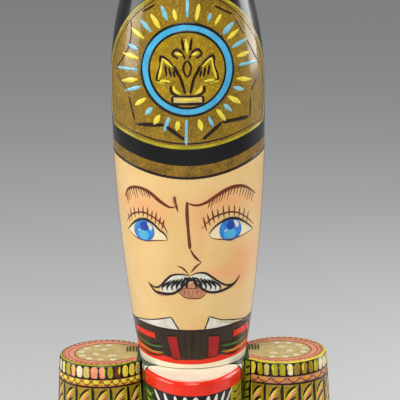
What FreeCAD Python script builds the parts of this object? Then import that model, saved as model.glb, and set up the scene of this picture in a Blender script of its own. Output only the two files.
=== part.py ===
import FreeCAD, Part
import Sketcher
import math
import os

# Wooden nutcracker soldier. Millimetres, +Z up, the front faces -Y.
# The origin is the centre of the base's underside. "left" is the figure's own left, +X.

doc = FreeCAD.newDocument("nutcracker")

# ---------------------------------------------------------------- driving dimensions

DIMENSIONS = [
    ("base_width", 92, "base, left to right"),
    ("base_depth", 76, "base, front to back"),
    ("base_thick", 14, "base, height"),
    ("base_corner", 34, "base, corner radius in plan"),
    ("base_round", 3, "rounding of the base's top edge"),
    ("leg_length", 58, "base top to coat hem"),
    ("leg_spread", 11.5, "leg axis to centre plane"),
    ("leg_setback", -6, "leg axis, front to back"),
    ("thigh_radius", 10.4, "breeches at the hem"),
    ("knee_radius", 9.4, "breeches where they enter the boot"),
    ("boot_radius", 10.6, "boot shaft"),
    ("boot_height", 27, "boot shaft, above the base"),
    ("toe_length", 22, "toe block, in front of the leg axis"),
    ("toe_height", 12, "toe block, height"),
    ("toe_halfwidth", 10.2, "toe block, half its width"),
    ("toe_round", 5, "rounding of the toe's upper edge"),
    ("hem_height", 18, "coat skirt, height"),
    ("hem_flare", 4.6, "coat skirt, how far its hem stands out"),
    ("torso_height", 67, "coat skirt to shoulder plane"),
    ("torso_halfwidth", 17.7, "torso and jaw, half their width"),
    ("torso_back", 20, "back of the torso"),
    ("back_corner", 9, "rounding of the torso's back corners"),
    ("chest_front", 32, "nose of the jaw and of the belly, before the axis"),
    ("nose_radius", 11, "plan radius at that nose"),
    ("flank_start", 5, "where the flanks start to curve in, before the axis"),
    ("jaw_seat", 13, "torso's front face behind the jaw, before the axis"),
    ("jaw_gap", 0.4, "clearance, jaw to torso"),
    ("mouth_gap", 0.3, "clearance, jaw to head"),
    ("jaw_swing", 24, "degrees from closed to open"),
    ("jaw_undercut", 12, "degrees the jaw's underside rises to the front"),
    ("jaw_lift", 4, "jaw's lower back edge above the pivot"),
    ("belly_gap", 1, "clearance, open jaw to belly"),
    ("lip_round", 2, "rounding of the jaw's upper edge"),
    ("pivot_drop", 30, "pivot below the shoulder plane"),
    ("pivot_back", 4, "pivot behind the axis"),
    ("pin_radius", 2.5, "pivot pin"),
    ("pin_play", 0.08, "running clearance round the pin"),
    ("lever_thick", 12, "lever, left to right"),
    ("slot_play", 0.5, "clearance each side of the lever"),
    ("lever_foot", 7.5, "lever below the pivot"),
    ("slot_floor", 10, "slot floor below the pivot"),
    ("lever_top", 20.5, "lever's top above the pivot"),
    ("lever_low", 4.2, "lever's lower front corner above the pivot"),
    ("lever_back_gap", 1.2, "clearance, handle to the torso's back"),
    ("handle_thick", 12, "handle, front to back"),
    ("handle_reach", 35, "handle's end below the pivot"),
    ("handle_flick", 3, "how far the handle's end curls out"),
    ("handle_round", 4, "rounding of the handle's long corners"),
    ("arm_reach", 13.3, "arm axis outside the torso's side"),
    ("arm_setback", 2, "arm axis behind the head's axis"),
    ("arm_radius", 15.6, "shoulder top"),
    ("arm_length", 53, "sleeve with cuff"),
    ("arm_edge", 0.8, "rounding of the shoulder's rim"),
    ("fringe_radius", 17, "epaulette fringe at its lower end"),
    ("fringe_length", 25, "shoulder plane to the fringe's end"),
    ("sleeve_radius", 14.2, "sleeve"),
    ("cuff_radius", 15.4, "cuff"),
    ("cuff_height", 11, "cuff"),
    ("hand_radius", 9.2, "gloved fist"),
    ("hand_length", 16, "gloved fist"),
    ("neck_radius", 18.2, "head at its flat underside"),
    ("hat_radius", 26, "head and hat where they are widest"),
    ("hat_widest", 95, "height of the widest place above the underside"),
    ("head_height", 143, "head and hat"),
    ("crown_radius", 22.5, "rounding of the hat's crown"),
    ("dowel_radius", 3, "beech dowels"),
    ("dowel_fit", 0.05, "glue gap round a dowel"),
    ("dowel_depth", 11, "dowel in each piece"),
    ("dowel_end", 0.5, "air at each dowel's end"),
    ("head_dowel_x", 11.8, "head dowels, left and right of the axis"),
    ("head_dowel_y", 2, "head dowels, behind the axis"),
    ("arm_dowel_depth", 7.5, "arm dowels in each piece"),
    ("arm_dowel_high", 19, "upper arm dowel below the shoulder plane"),
    ("arm_dowel_low", 47, "lower arm dowel below the shoulder plane"),
    ("jaw_dowel_radius", 2.5, "jaw dowels"),
    ("jaw_dowel_depth", 8, "jaw dowels in each piece"),
    ("jaw_dowel_low", 8.7, "lower jaw dowel above the pivot"),
    ("jaw_dowel_high", 16, "upper jaw dowel above the pivot"),
    ("hem_dowel_front", -18, "front skirt dowel"),
    ("hem_dowel_back", 9, "back skirt dowel"),
    ("toe_dowel_radius", 2, "toe dowels"),
    ("toe_dowel_depth", 4, "toe dowels in each piece"),
    ("toe_dowel_up", 6, "toe dowels above the base"),
    ("toe_fit", 0.1, "glue gap, toe to boot shaft"),
    ("screw_radius", 1.8, "base screws, shank"),
    ("screw_head", 4, "base screws, head radius"),
    ("screw_cone", 3, "base screws, head height"),
    ("screw_length", 32, "base screws"),
    ("screw_sunk", 0.6, "screw heads below the base's underside"),
    ("screw_hole", 0.1, "clearance round the screws"),
]

sheet = doc.addObject("Spreadsheet::Sheet", "dims")
for row, (alias, value, meaning) in enumerate(DIMENSIONS, start=1):
    sheet.set(f"A{row}", meaning)
    sheet.set(f"B{row}", str(value))
    sheet.setAlias(f"B{row}", alias)
doc.recompute()

VALUES = {alias: float(sheet.get(alias)) for alias, value, meaning in DIMENSIONS}
WORDS = sorted(VALUES, key=len, reverse=True)


def cell(formula):
    """The formula with each alias pointing at its cell."""
    words = "".join(c if c.isalnum() or c == "_" else " " for c in formula).split()
    for word in sorted(set(words), key=len, reverse=True):
        if word in VALUES:
            formula = formula.replace(word, "@" + str(WORDS.index(word)) + "@")
    for index, word in enumerate(WORDS):
        formula = formula.replace(f"@{index}@", "dims." + word)
    return formula


def number(formula):
    """What the formula is worth now."""
    return float(sheet.evalExpression(cell(formula)))


# Levels above the table and lines that several pieces share.
LEG_FOOT = "base_thick"
HEM = "(base_thick + leg_length)"
WAIST = "(base_thick + leg_length + hem_height)"
SHOULDER = "(base_thick + leg_length + hem_height + torso_height)"
PIVOT = "(base_thick + leg_length + hem_height + torso_height - pivot_drop)"
JAW_BACK = "(jaw_seat + jaw_gap)"
ARM_AXIS = "(torso_halfwidth + arm_reach)"
BELLY_TOP = ("(" + PIVOT + " - (jaw_seat + jaw_gap + pivot_back) * sin(jaw_swing)"
             " + jaw_lift * cos(jaw_swing) - belly_gap)")
HOLE = "(dowel_radius + dowel_fit)"


# ---------------------------------------------------------------- how pieces are made

def bind(thing, **formulas):
    """Tie properties to the sheet; a double underscore stands for a dot."""
    for name, formula in formulas.items():
        thing.setExpression(name.replace("__", "."), cell(formula))
    return thing


def make_body(label):
    body = doc.addObject("PartDesign::Body", label)
    body.Label = label
    return body


def origin_plane(body, role):
    return [plane for plane in body.Origin.OriginFeatures if plane.Role == role][0]


def add_sketch(body, role, name, offset=None):
    """A sketch on one of the body's own origin planes, lifted along its normal by offset."""
    sketch = body.newObject("Sketcher::SketchObject", name)
    sketch.AttachmentSupport = (origin_plane(body, role), [""])
    sketch.MapMode = "FlatFace"
    if offset:
        bind(sketch, AttachmentOffset__Base__z=offset)
    return sketch


def pin_point(sketch, edge, end, across, up):
    """Hold one end of an edge at a place worked out from the sheet."""
    for kind, formula in (("DistanceX", across), ("DistanceY", up)):
        if formula.strip() == "0" and kind == "DistanceX":
            sketch.addConstraint(Sketcher.Constraint("PointOnObject", edge, end, -2))
        elif formula.strip() == "0":
            sketch.addConstraint(Sketcher.Constraint("PointOnObject", edge, end, -1))
        else:
            place = Sketcher.Constraint(kind, -1, 1, edge, end, number(formula))
            index = sketch.addConstraint(place)
            sketch.setExpression(f"Constraints[{index}]", cell(formula))


def arc_between(start, end, radius):
    """An arc from start to end; a positive radius bows out to the right of the way."""
    (x0, y0), (x1, y1) = start, end
    chord = math.hypot(x1 - x0, y1 - y0)
    rise = abs(radius) - math.sqrt(radius * radius - chord * chord / 4)
    bow = math.copysign(rise, radius)
    middle = ((x0 + x1) / 2 + bow * (y1 - y0) / chord, (y0 + y1) / 2 - bow * (x1 - x0) / chord)
    points = [FreeCAD.Vector(x, y, 0) for x, y in (start, middle, end)]
    return Part.Arc(*points)


def draw_outline(sketch, corners):
    """A closed outline. Each corner is (across, up) or (across, up, radius of the arc that leaves it)."""
    places = [(number(corner[0]), number(corner[1])) for corner in corners]
    for index, corner in enumerate(corners):
        start = places[index]
        end = places[(index + 1) % len(places)]
        if len(corner) == 2:
            line = Part.LineSegment(FreeCAD.Vector(*start, 0), FreeCAD.Vector(*end, 0))
            edge = sketch.addGeometry(line)
            pin_point(sketch, edge, 1, corner[0], corner[1])
        else:
            radius = number(corner[2])
            arc = arc_between(start, end, radius)
            edge = sketch.addGeometry(arc)
            # an arc runs anticlockwise, so one that bows to the left ends where it was begun
            begin = 1 if radius > 0 else 2
            pin_point(sketch, edge, begin, corner[0], corner[1])
            size = sketch.addConstraint(Sketcher.Constraint("Radius", edge, abs(radius)))
            sketch.setExpression(f"Constraints[{size}]", cell("abs(" + corner[2] + ")"))
    count = len(corners)
    for index in range(count):
        following = (index + 1) % count
        leaves = 1 if len(corners[index]) == 3 and number(corners[index][2]) < 0 else 2
        enters = 2 if len(corners[following]) == 3 and number(corners[following][2]) < 0 else 1
        sketch.addConstraint(Sketcher.Constraint("Coincident", index, leaves, following, enters))


def add_pad(body, sketch, length, symmetric=False, downward=False):
    pad = body.newObject("PartDesign::Pad", "pad")
    pad.Profile = sketch
    pad.SideType = "Symmetric" if symmetric else "One side"
    pad.Reversed = downward
    bind(pad, Length=length)
    doc.recompute()
    return pad


def add_turning(body, sketch):
    """Turn the profile round the body's own Z axis."""
    turning = body.newObject("PartDesign::Revolution", "turning")
    turning.Profile = sketch
    turning.ReferenceAxis = (sketch, ["V_Axis"])
    turning.Angle = 360
    doc.recompute()
    return turning


def take_away(body, sketch, length):
    """Cut the outline through the piece, to both sides of its plane."""
    before = body.Shape.Volume
    pocket = body.newObject("PartDesign::Pocket", "pocket")
    pocket.Profile = sketch
    pocket.SideType = "Symmetric"
    bind(pocket, Length=length)
    doc.recompute()
    if body.Shape.Volume >= before:
        raise RuntimeError("nothing was cut from " + body.Label)
    return pocket


TURNED_TO = {
    "X": FreeCAD.Rotation(FreeCAD.Vector(0, 1, 0), 90),
    "Y": FreeCAD.Rotation(FreeCAD.Vector(1, 0, 0), -90),
    "Z": FreeCAD.Rotation(),
}


def place(thing, axis, across, back, up):
    thing.Placement = FreeCAD.Placement(FreeCAD.Vector(), TURNED_TO[axis])
    return bind(thing, Placement__Base__x=across, Placement__Base__y=back, Placement__Base__z=up)


def drill(body, axis, radius, depth, across, back, up):
    """A round hole from the given place along the axis."""
    before = body.Shape.Volume
    hole = body.newObject("PartDesign::SubtractiveCylinder", "hole")
    place(hole, axis, across, back, up)
    bind(hole, Radius=radius, Height=depth)
    doc.recompute()
    if body.Shape.Volume >= before:
        raise RuntimeError("no hole was made in " + body.Label)
    return hole


def round_edges(body, radius, wanted):
    """Round the edges of the body for which wanted(edge) is true."""
    solid = body.Tip
    names = [f"Edge{i}" for i, edge in enumerate(solid.Shape.Edges, start=1) if wanted(edge)]
    rounding = body.newObject("PartDesign::Fillet", "rounding")
    rounding.Base = (solid, names)
    bind(rounding, Radius=radius)
    doc.recompute()
    return rounding


def make_rods(label, axis, radius, length, places):
    """A node of equal rods, each its own solid, that start at the given places."""
    rods = []
    for across, back, up in places:
        rod = doc.addObject("Part::Cylinder", label + "_rod")
        place(rod, axis, across, back, up)
        bind(rod, Radius=radius, Height=length)
        rods.append(rod)
    if len(rods) == 1:
        rods[0].Label = label
        return rods[0]
    group = doc.addObject("Part::Compound", label)
    group.Links = rods
    group.Label = label
    return group


def lies_at(edge, height):
    box = edge.BoundBox
    return abs(box.ZMin - height) < 0.01 and abs(box.ZMax - height) < 0.01


# The front of the torso, of the jaw and of the hem share one plan: a small nose arc
# between two flank arcs that start square to the shoulders.
def flank_radius(grow):
    """Radius of the flank arcs that meet the nose arc smoothly."""
    half = f"(torso_halfwidth + {grow})"
    nose = f"(nose_radius + {grow})"
    reach = f"(chest_front + {grow} - flank_start - {nose})"
    return f"((({nose})^2 - {half}^2 - {reach}^2) / (2 * ({nose} - {half})))"


def nose_joint(grow):
    """Where a flank arc meets the nose arc: across, and before the axis."""
    half = f"(torso_halfwidth + {grow})"
    nose = f"(nose_radius + {grow})"
    flank = flank_radius(grow)
    reach = f"(chest_front + {grow} - flank_start - {nose})"
    across = f"({nose} * ({flank} - {half}) / ({flank} - {nose}))"
    ahead = f"(flank_start + {reach} + {nose} * {reach} / ({flank} - {nose}))"
    return across, ahead


def coat_plan(grow):
    """Plan of the torso, grown by grow all round, anticlockwise from its left flank."""
    half = f"(torso_halfwidth + {grow})"
    back = f"(torso_back + {grow})"
    corner = f"(back_corner + {grow})"
    across, ahead = nose_joint(grow)
    flank = flank_radius(grow)
    nose = f"(nose_radius + {grow})"
    return [
        (half, "-flank_start"),
        (half, f"{back} - {corner}", corner),
        (f"{half} - {corner}", back),
        (f"{corner} - {half}", back, corner),
        (f"-{half}", f"{back} - {corner}"),
        (f"-{half}", "-flank_start", flank),
        (f"-{across}", f"-{ahead}", nose),
        (across, f"-{ahead}", flank),
    ]


# ---------------------------------------------------------------- base and legs

def make_base():
    body = make_body("base")
    side = "base_width / 2"
    front = "base_depth / 2"
    inner_side = "(base_width / 2 - base_corner)"
    inner_front = "(base_depth / 2 - base_corner)"
    sketch = add_sketch(body, "XY_Plane", "base_plan")
    draw_outline(sketch, [
        (side, "-" + inner_front),
        (side, inner_front, "base_corner"),
        (inner_side, front),
        ("-" + inner_side, front, "base_corner"),
        ("-" + side, inner_front),
        ("-" + side, "-" + inner_front, "base_corner"),
        ("-" + inner_side, "-" + front),
        (inner_side, "-" + front, "base_corner"),
    ])
    add_pad(body, sketch, "base_thick")
    round_edges(body, "base_round", lambda edge: lies_at(edge, number("base_thick")))
    for sign in ("", "-"):
        drill(body, "Z", "screw_radius + screw_hole", "base_thick", sign + "leg_spread", "leg_setback", "0")
        sink = body.newObject("PartDesign::SubtractiveCone", "countersink")
        place(sink, "Z", sign + "leg_spread", "leg_setback", "0")
        bind(sink, Radius1="screw_head + screw_hole + screw_sunk", Radius2="screw_radius + screw_hole",
             Height="screw_cone + screw_sunk")
        doc.recompute()
    return body


def make_screws():
    """Countersunk screws, one up into each leg."""
    screws = []
    for sign in ("", "-"):
        head = doc.addObject("Part::Cone", "screw_head")
        place(head, "Z", sign + "leg_spread", "leg_setback", "screw_sunk")
        bind(head, Radius1="screw_head", Radius2="screw_radius", Height="screw_cone")
        shank = doc.addObject("Part::Cylinder", "screw_shank")
        place(shank, "Z", sign + "leg_spread", "leg_setback", "screw_sunk + screw_cone")
        bind(shank, Radius="screw_radius", Height="screw_length - screw_cone")
        screw = doc.addObject("Part::Fuse", "screw")
        screw.Base = head
        screw.Tool = shank
        screws.append(screw)
    group = doc.addObject("Part::Compound", "base_screws")
    group.Links = screws
    group.Label = "base_screws"
    return group


def make_leg(label, sign):
    """A turned leg: boot shaft with a rolled top, and breeches above it."""
    body = make_body(label)
    sketch = add_sketch(body, "XZ_Plane", "leg_profile")
    draw_outline(sketch, [
        ("0", "0"),
        ("boot_radius", "0"),
        ("boot_radius", "boot_height", "1.5"),
        ("boot_radius", "boot_height + 2.4"),
        ("knee_radius", "boot_height + 2.4"),
        ("thigh_radius", "leg_length"),
        ("0", "leg_length"),
    ])
    add_turning(body, sketch)
    place(body, "Z", sign + "leg_spread", "leg_setback", LEG_FOOT)
    drill(body, "Z", "screw_radius + screw_hole", "screw_length + screw_sunk + dowel_end - base_thick",
          "0", "0", "0")
    drill(body, "Z", HOLE, "dowel_depth + dowel_end", "0", "0", "leg_length - dowel_depth - dowel_end")
    drill(body, "Y", "toe_dowel_radius + dowel_fit", "toe_dowel_depth + dowel_end + boot_radius",
          "0", "-2 * boot_radius", "toe_dowel_up")
    return body


def make_toe(label, sign):
    """The front of a boot: a round-nosed block hollowed to sit on the leg."""
    body = make_body(label)
    sketch = add_sketch(body, "XY_Plane", "toe_plan")
    draw_outline(sketch, [
        ("toe_halfwidth", "toe_halfwidth - toe_length"),
        ("toe_halfwidth", "-2"),
        ("-toe_halfwidth", "-2"),
        ("-toe_halfwidth", "toe_halfwidth - toe_length", "toe_halfwidth * 1.0001"),
    ])
    add_pad(body, sketch, "toe_height")
    top = number("toe_height")
    ahead = number("-toe_halfwidth")
    round_edges(body, "toe_round", lambda edge: lies_at(edge, top) and edge.BoundBox.YMin < ahead)
    drill(body, "Z", "boot_radius + toe_fit", "toe_height", "0", "0", "0")
    drill(body, "Y", "toe_dowel_radius + dowel_fit", "toe_dowel_depth + dowel_end + boot_radius",
          "0", "-boot_radius - toe_dowel_depth - dowel_end", "toe_dowel_up")
    return place(body, "Z", sign + "leg_spread", "leg_setback", LEG_FOOT)


# ---------------------------------------------------------------- coat

def make_hem():
    """The flared skirt of the coat, from the waist down to the hem."""
    body = make_body("coat_skirt")
    upper = add_sketch(body, "XY_Plane", "waist_plan", WAIST)
    draw_outline(upper, coat_plan("0"))
    lower = add_sketch(body, "XY_Plane", "hem_plan", HEM)
    draw_outline(lower, coat_plan("hem_flare"))
    loft = body.newObject("PartDesign::AdditiveLoft", "skirt")
    loft.Profile = upper
    loft.Sections = [lower]
    loft.Ruled = True
    doc.recompute()
    for sign in ("", "-"):
        drill(body, "Z", HOLE, "dowel_depth + dowel_end", sign + "leg_spread", "leg_setback", HEM)
    for back in ("hem_dowel_front", "hem_dowel_back"):
        drill(body, "Z", HOLE, "dowel_depth + dowel_end", "0", back,
              WAIST + " - dowel_depth - dowel_end")
    return body


def make_torso():
    """Torso: a seat for the jaw in front, and a lever slot sawn down between two cheeks."""
    body = make_body("torso")
    plan = add_sketch(body, "XY_Plane", "torso_plan", WAIST)
    draw_outline(plan, coat_plan("0"))
    add_pad(body, plan, "torso_height")
    seat = add_sketch(body, "YZ_Plane", "jaw_seat_side")
    clear = "(chest_front + 5)"
    draw_outline(seat, [
        ("-jaw_seat", BELLY_TOP),
        ("-jaw_seat", SHOULDER + " + 5"),
        ("-" + clear, SHOULDER + " + 5"),
        ("-" + clear, BELLY_TOP + f" - ({clear} - jaw_seat) * tan(jaw_swing - jaw_undercut)"),
    ])
    take_away(body, seat, "3 * torso_halfwidth")
    slot = add_sketch(body, "YZ_Plane", "slot_side")
    draw_outline(slot, [
        ("-jaw_seat", PIVOT + " - slot_floor"),
        ("torso_back + 5", PIVOT + " - slot_floor"),
        ("torso_back + 5", SHOULDER + " + 5"),
        ("-jaw_seat - 1", SHOULDER + " + 5"),
        ("-jaw_seat - 1", BELLY_TOP),
        ("-jaw_seat", BELLY_TOP),
    ])
    take_away(body, slot, "lever_thick + 2 * slot_play")
    drill(body, "X", "pin_radius", "2 * torso_halfwidth", "-torso_halfwidth", "pivot_back", PIVOT)
    for sign in ("", "-"):
        drill(body, "Z", HOLE, "dowel_depth + dowel_end", sign + "head_dowel_x", "head_dowel_y",
              SHOULDER + " - dowel_depth - dowel_end")
        for down in ("arm_dowel_high", "arm_dowel_low"):
            start = "torso_halfwidth - arm_dowel_depth - dowel_end" if sign == "" else "-torso_halfwidth"
            drill(body, "X", HOLE, "arm_dowel_depth + dowel_end", start, "arm_setback",
                  SHOULDER + " - " + down)
    for back in ("hem_dowel_front", "hem_dowel_back"):
        drill(body, "Z", HOLE, "dowel_depth + dowel_end", "0", back, WAIST)
    return body


# ---------------------------------------------------------------- arms

def make_arm(label, sign):
    """A turned arm: flat shoulder, flaring fringe, sleeve and cuff, flattened against the torso."""
    body = make_body(label)
    sketch = add_sketch(body, "XZ_Plane", "arm_profile")
    draw_outline(sketch, [
        ("0", "-arm_length"),
        ("cuff_radius - 1", "-arm_length"),
        ("cuff_radius", "cuff_height - arm_length"),
        ("sleeve_radius", "cuff_height - arm_length"),
        ("sleeve_radius", "-fringe_length"),
        ("fringe_radius", "-fringe_length"),
        ("arm_radius", "-arm_edge", "arm_edge * 1.2"),
        ("arm_radius - arm_edge", "0"),
        ("0", "0"),
    ])
    add_turning(body, sketch)
    inner = "arm_reach"
    before = body.Shape.Volume
    flat = body.newObject("PartDesign::SubtractiveBox", "flat")
    start = f"-{inner} - 20" if sign == "" else inner
    place(flat, "Z", start, "-20", "-arm_length - 1")
    bind(flat, Length="20", Width="40", Height="arm_length + 2")
    doc.recompute()
    if body.Shape.Volume >= before:
        raise RuntimeError("the arm has no flat")
    for down in ("arm_dowel_high", "arm_dowel_low"):
        begin = f"-{inner}" if sign == "" else f"{inner} - arm_dowel_depth - dowel_end"
        drill(body, "X", HOLE, "arm_dowel_depth + dowel_end", begin, "0", "-" + down)
    drill(body, "Z", HOLE, "dowel_depth + dowel_end", "0", "0", "-arm_length")
    return place(body, "Z", sign + ARM_AXIS, "arm_setback", SHOULDER)


def make_hand(label, sign):
    """A gloved fist, turned like a thick button with a narrower wrist."""
    body = make_body(label)
    sketch = add_sketch(body, "XZ_Plane", "hand_profile")
    wrist = "hand_radius * 0.8"
    draw_outline(sketch, [
        ("0", "-hand_length", "hand_radius * 1.15"),
        ("hand_radius", "-hand_length * 0.55", "hand_radius"),
        (wrist, "-hand_length * 0.12"),
        (wrist, "0"),
        ("0", "0"),
    ])
    add_turning(body, sketch)
    drill(body, "Z", HOLE, "dowel_depth - 2 + dowel_end", "0", "0", "2 - dowel_depth - dowel_end")
    return place(body, "Z", sign + ARM_AXIS, "arm_setback", SHOULDER + " - arm_length")


# ---------------------------------------------------------------- head

def make_head():
    """Head and hat in one turning: a long swelling side, then a shorter bend to the round crown."""
    body = make_body("head")
    sketch = add_sketch(body, "XZ_Plane", "head_profile")
    neck = VALUES["neck_radius"]
    wide = VALUES["hat_radius"]
    level = VALUES["hat_widest"]
    height = VALUES["head_height"]
    crown = VALUES["crown_radius"]
    swell = ((wide - neck) ** 2 + level ** 2) / (2 * (wide - neck))
    centre = height - crown
    bend = (crown ** 2 - wide ** 2 - (centre - level) ** 2) / (2 * (crown - wide))
    span = bend - crown
    joint = (crown * (bend - wide) / span, centre + crown * (centre - level) / span)
    floor = sketch.addGeometry(Part.LineSegment(FreeCAD.Vector(0, 0, 0), FreeCAD.Vector(neck, 0, 0)))
    side = sketch.addGeometry(arc_between((neck, 0), (wide, level), swell))
    turn = sketch.addGeometry(arc_between((wide, level), joint, bend))
    cap = sketch.addGeometry(arc_between(joint, (0, height), crown))
    axis = sketch.addGeometry(Part.LineSegment(FreeCAD.Vector(0, height, 0), FreeCAD.Vector(0, 0, 0)))
    pin_point(sketch, floor, 1, "0", "0")
    pin_point(sketch, floor, 2, "neck_radius", "0")
    pin_point(sketch, side, 2, "hat_radius", "hat_widest")
    pin_point(sketch, cap, 2, "0", "head_height")
    for first, second in ((floor, side), (side, turn), (cap, axis), (axis, floor)):
        sketch.addConstraint(Sketcher.Constraint("Coincident", first, 2, second, 1))
    sketch.addConstraint(Sketcher.Constraint("Horizontal", side, 3, side, 2))
    sketch.addConstraint(Sketcher.Constraint("Horizontal", turn, 3, turn, 1))
    sketch.addConstraint(Sketcher.Constraint("PointOnObject", cap, 3, -2))
    size = sketch.addConstraint(Sketcher.Constraint("Radius", cap, crown))
    sketch.setExpression(f"Constraints[{size}]", cell("crown_radius"))
    sketch.addConstraint(Sketcher.Constraint("Tangent", turn, 2, cap, 1))
    add_turning(body, sketch)
    for sign in ("", "-"):
        drill(body, "Z", HOLE, "dowel_depth + dowel_end", sign + "head_dowel_x", "head_dowel_y", "0")
    return place(body, "Z", "0", "0", SHOULDER)


# ---------------------------------------------------------------- jaw and lever

def make_jaw():
    """Lower jaw: the front of the torso's plan, flush with the shoulders, undercut below."""
    body = make_body("jaw_block")
    across, ahead = nose_joint("0")
    flank = flank_radius("0")
    behind = "(jaw_seat + jaw_gap)"
    edge = f"(torso_halfwidth - {flank} + sqrt({flank}^2 - ({behind} - flank_start)^2))"
    floor = PIVOT + " + jaw_lift"
    plan = add_sketch(body, "XY_Plane", "jaw_plan", floor)
    draw_outline(plan, [
        (edge, "-" + behind),
        ("-" + edge, "-" + behind, flank),
        ("-" + across, "-" + ahead, "nose_radius"),
        (across, "-" + ahead, flank),
    ])
    add_pad(body, plan, "pivot_drop - jaw_lift - mouth_gap")
    top = number(SHOULDER + " - mouth_gap")
    back = number("-" + behind)
    round_edges(body, "lip_round", lambda rim: lies_at(rim, top) and rim.BoundBox.YMin < back - 1)
    under = add_sketch(body, "YZ_Plane", "jaw_underside")
    reach = "(chest_front + 5)"
    draw_outline(under, [
        ("-" + behind, floor),
        ("-" + reach, floor + f" + ({reach} - {behind}) * tan(jaw_undercut)"),
        ("-" + reach, floor + " - 5"),
        ("-" + behind, floor + " - 5"),
    ])
    take_away(body, under, "3 * torso_halfwidth")
    for up in ("jaw_dowel_low", "jaw_dowel_high"):
        drill(body, "Y", "jaw_dowel_radius + dowel_fit", "jaw_dowel_depth + dowel_end",
              "0", f"-{behind} - jaw_dowel_depth - dowel_end", PIVOT + " + " + up)
    return body


def make_lever():
    """A flat board: nose behind the jaw, eye for the pin, and the handle down the back."""
    body = make_body("lever")
    side = add_sketch(body, "YZ_Plane", "lever_side")
    inner = "(torso_back + lever_back_gap)"
    outer = "(torso_back + lever_back_gap + handle_thick)"
    draw_outline(side, [
        ("-" + JAW_BACK, PIVOT + " + lever_low"),
        ("pivot_back - lever_foot", PIVOT + " - lever_foot * 0.8"),
        ("pivot_back", PIVOT + " - lever_foot"),
        (inner, PIVOT + " - lever_foot"),
        (inner, PIVOT + " - handle_reach * 0.6"),
        (inner + " + handle_flick", PIVOT + " - handle_reach"),
        (outer + " + handle_flick", PIVOT + " - handle_reach"),
        (outer, PIVOT + " - handle_reach * 0.6"),
        (outer, PIVOT + " + lever_top - handle_thick", "handle_thick"),
        (inner, PIVOT + " + lever_top"),
        ("-" + JAW_BACK, PIVOT + " + lever_top"),
    ])
    add_pad(body, side, "lever_thick", symmetric=True)
    behind = number(outer) - 0.5
    top = number(PIVOT + " + lever_top - handle_thick") + 0.5
    round_edges(body, "handle_round", lambda edge: edge.BoundBox.XLength < 0.01
                and edge.BoundBox.YMin > behind and edge.BoundBox.ZMax < top)
    drill(body, "X", "pin_radius + pin_play", "lever_thick", "-lever_thick / 2", "pivot_back", PIVOT)
    for up in ("jaw_dowel_low", "jaw_dowel_high"):
        drill(body, "Y", "jaw_dowel_radius + dowel_fit", "jaw_dowel_depth + dowel_end",
              "0", "-" + JAW_BACK, PIVOT + " + " + up)
    return body


# ---------------------------------------------------------------- assembly

PIECES = [
    make_base(),
    make_screws(),
    make_hem(),
    make_torso(),
    make_head(),
    make_jaw(),
    make_lever(),
]
for name, sign in (("left", ""), ("right", "-")):
    PIECES.append(make_leg(name + "_leg", sign))
    PIECES.append(make_toe(name + "_toe", sign))
    PIECES.append(make_arm(name + "_arm", sign))
    PIECES.append(make_hand(name + "_hand", sign))
    start = "torso_halfwidth - arm_dowel_depth" if sign == "" else "-torso_halfwidth - arm_dowel_depth"
    PIECES.append(make_rods(name + "_arm_dowels", "X", "dowel_radius", "2 * arm_dowel_depth", [
        (start, "arm_setback", SHOULDER + " - arm_dowel_high"),
        (start, "arm_setback", SHOULDER + " - arm_dowel_low"),
    ]))

BOTH_SIDES = ("", "-")
PIECES.append(make_rods("pivot_pin", "X", "pin_radius", "2 * torso_halfwidth - 1", [
    ("0.5 - torso_halfwidth", "pivot_back", PIVOT),
]))
PIECES.append(make_rods("leg_dowels", "Z", "dowel_radius", "2 * dowel_depth", [
    (sign + "leg_spread", "leg_setback", HEM + " - dowel_depth") for sign in BOTH_SIDES
]))
PIECES.append(make_rods("toe_dowels", "Y", "toe_dowel_radius", "2 * toe_dowel_depth", [
    (sign + "leg_spread", "leg_setback - boot_radius - toe_dowel_depth", "base_thick + toe_dowel_up")
    for sign in BOTH_SIDES
]))
PIECES.append(make_rods("skirt_dowels", "Z", "dowel_radius", "2 * dowel_depth", [
    ("0", back, WAIST + " - dowel_depth") for back in ("hem_dowel_front", "hem_dowel_back")
]))
PIECES.append(make_rods("head_dowels", "Z", "dowel_radius", "2 * dowel_depth", [
    (sign + "head_dowel_x", "head_dowel_y", SHOULDER + " - dowel_depth") for sign in BOTH_SIDES
]))
PIECES.append(make_rods("hand_dowels", "Z", "dowel_radius", "2 * dowel_depth - 2", [
    (sign + ARM_AXIS, "arm_setback", SHOULDER + " - arm_length - dowel_depth + 2") for sign in BOTH_SIDES
]))
PIECES.append(make_rods("jaw_dowels", "Y", "jaw_dowel_radius", "2 * jaw_dowel_depth", [
    ("0", "-" + JAW_BACK + " - jaw_dowel_depth", PIVOT + " + " + up)
    for up in ("jaw_dowel_low", "jaw_dowel_high")
]))

doc.recompute()

# ---------------------------------------------------------------- check, then write

for thing in doc.Objects:
    faults = [state for state in thing.State if state in ("Invalid", "Error")]
    if faults:
        raise RuntimeError(f"{thing.Label} is {faults}")
for piece in PIECES:
    if piece.Shape.isNull() or not piece.Shape.isValid():
        raise RuntimeError(piece.Label + " has no valid shape")

os.makedirs("parts", exist_ok=True)
for piece in PIECES:
    piece.Shape.exportStep(f"parts/{piece.Label}.step")
    solids = len(piece.Shape.Solids)
    print(f"{piece.Label}: {solids} solid(s), {piece.Shape.Volume / 1000:.1f} cm3")
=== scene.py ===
# %% [markdown]
# # A hand-painted nutcracker
# The real figure is turned and sawn from linden wood, painted with tempera and
# sealed with glossy lacquer. The wood comes ready from the CAD model. This
# lesson paints it: first the tools (a canvas, a skin of paint, a brush stroke),
# then the hat, the face, the collar, the jaw, the epaulettes and the coat.
# Every coat of paint is thin real geometry, because on the real figure each
# stroke stands a little proud and catches the light.

# %% The frame
import math
import random

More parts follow.
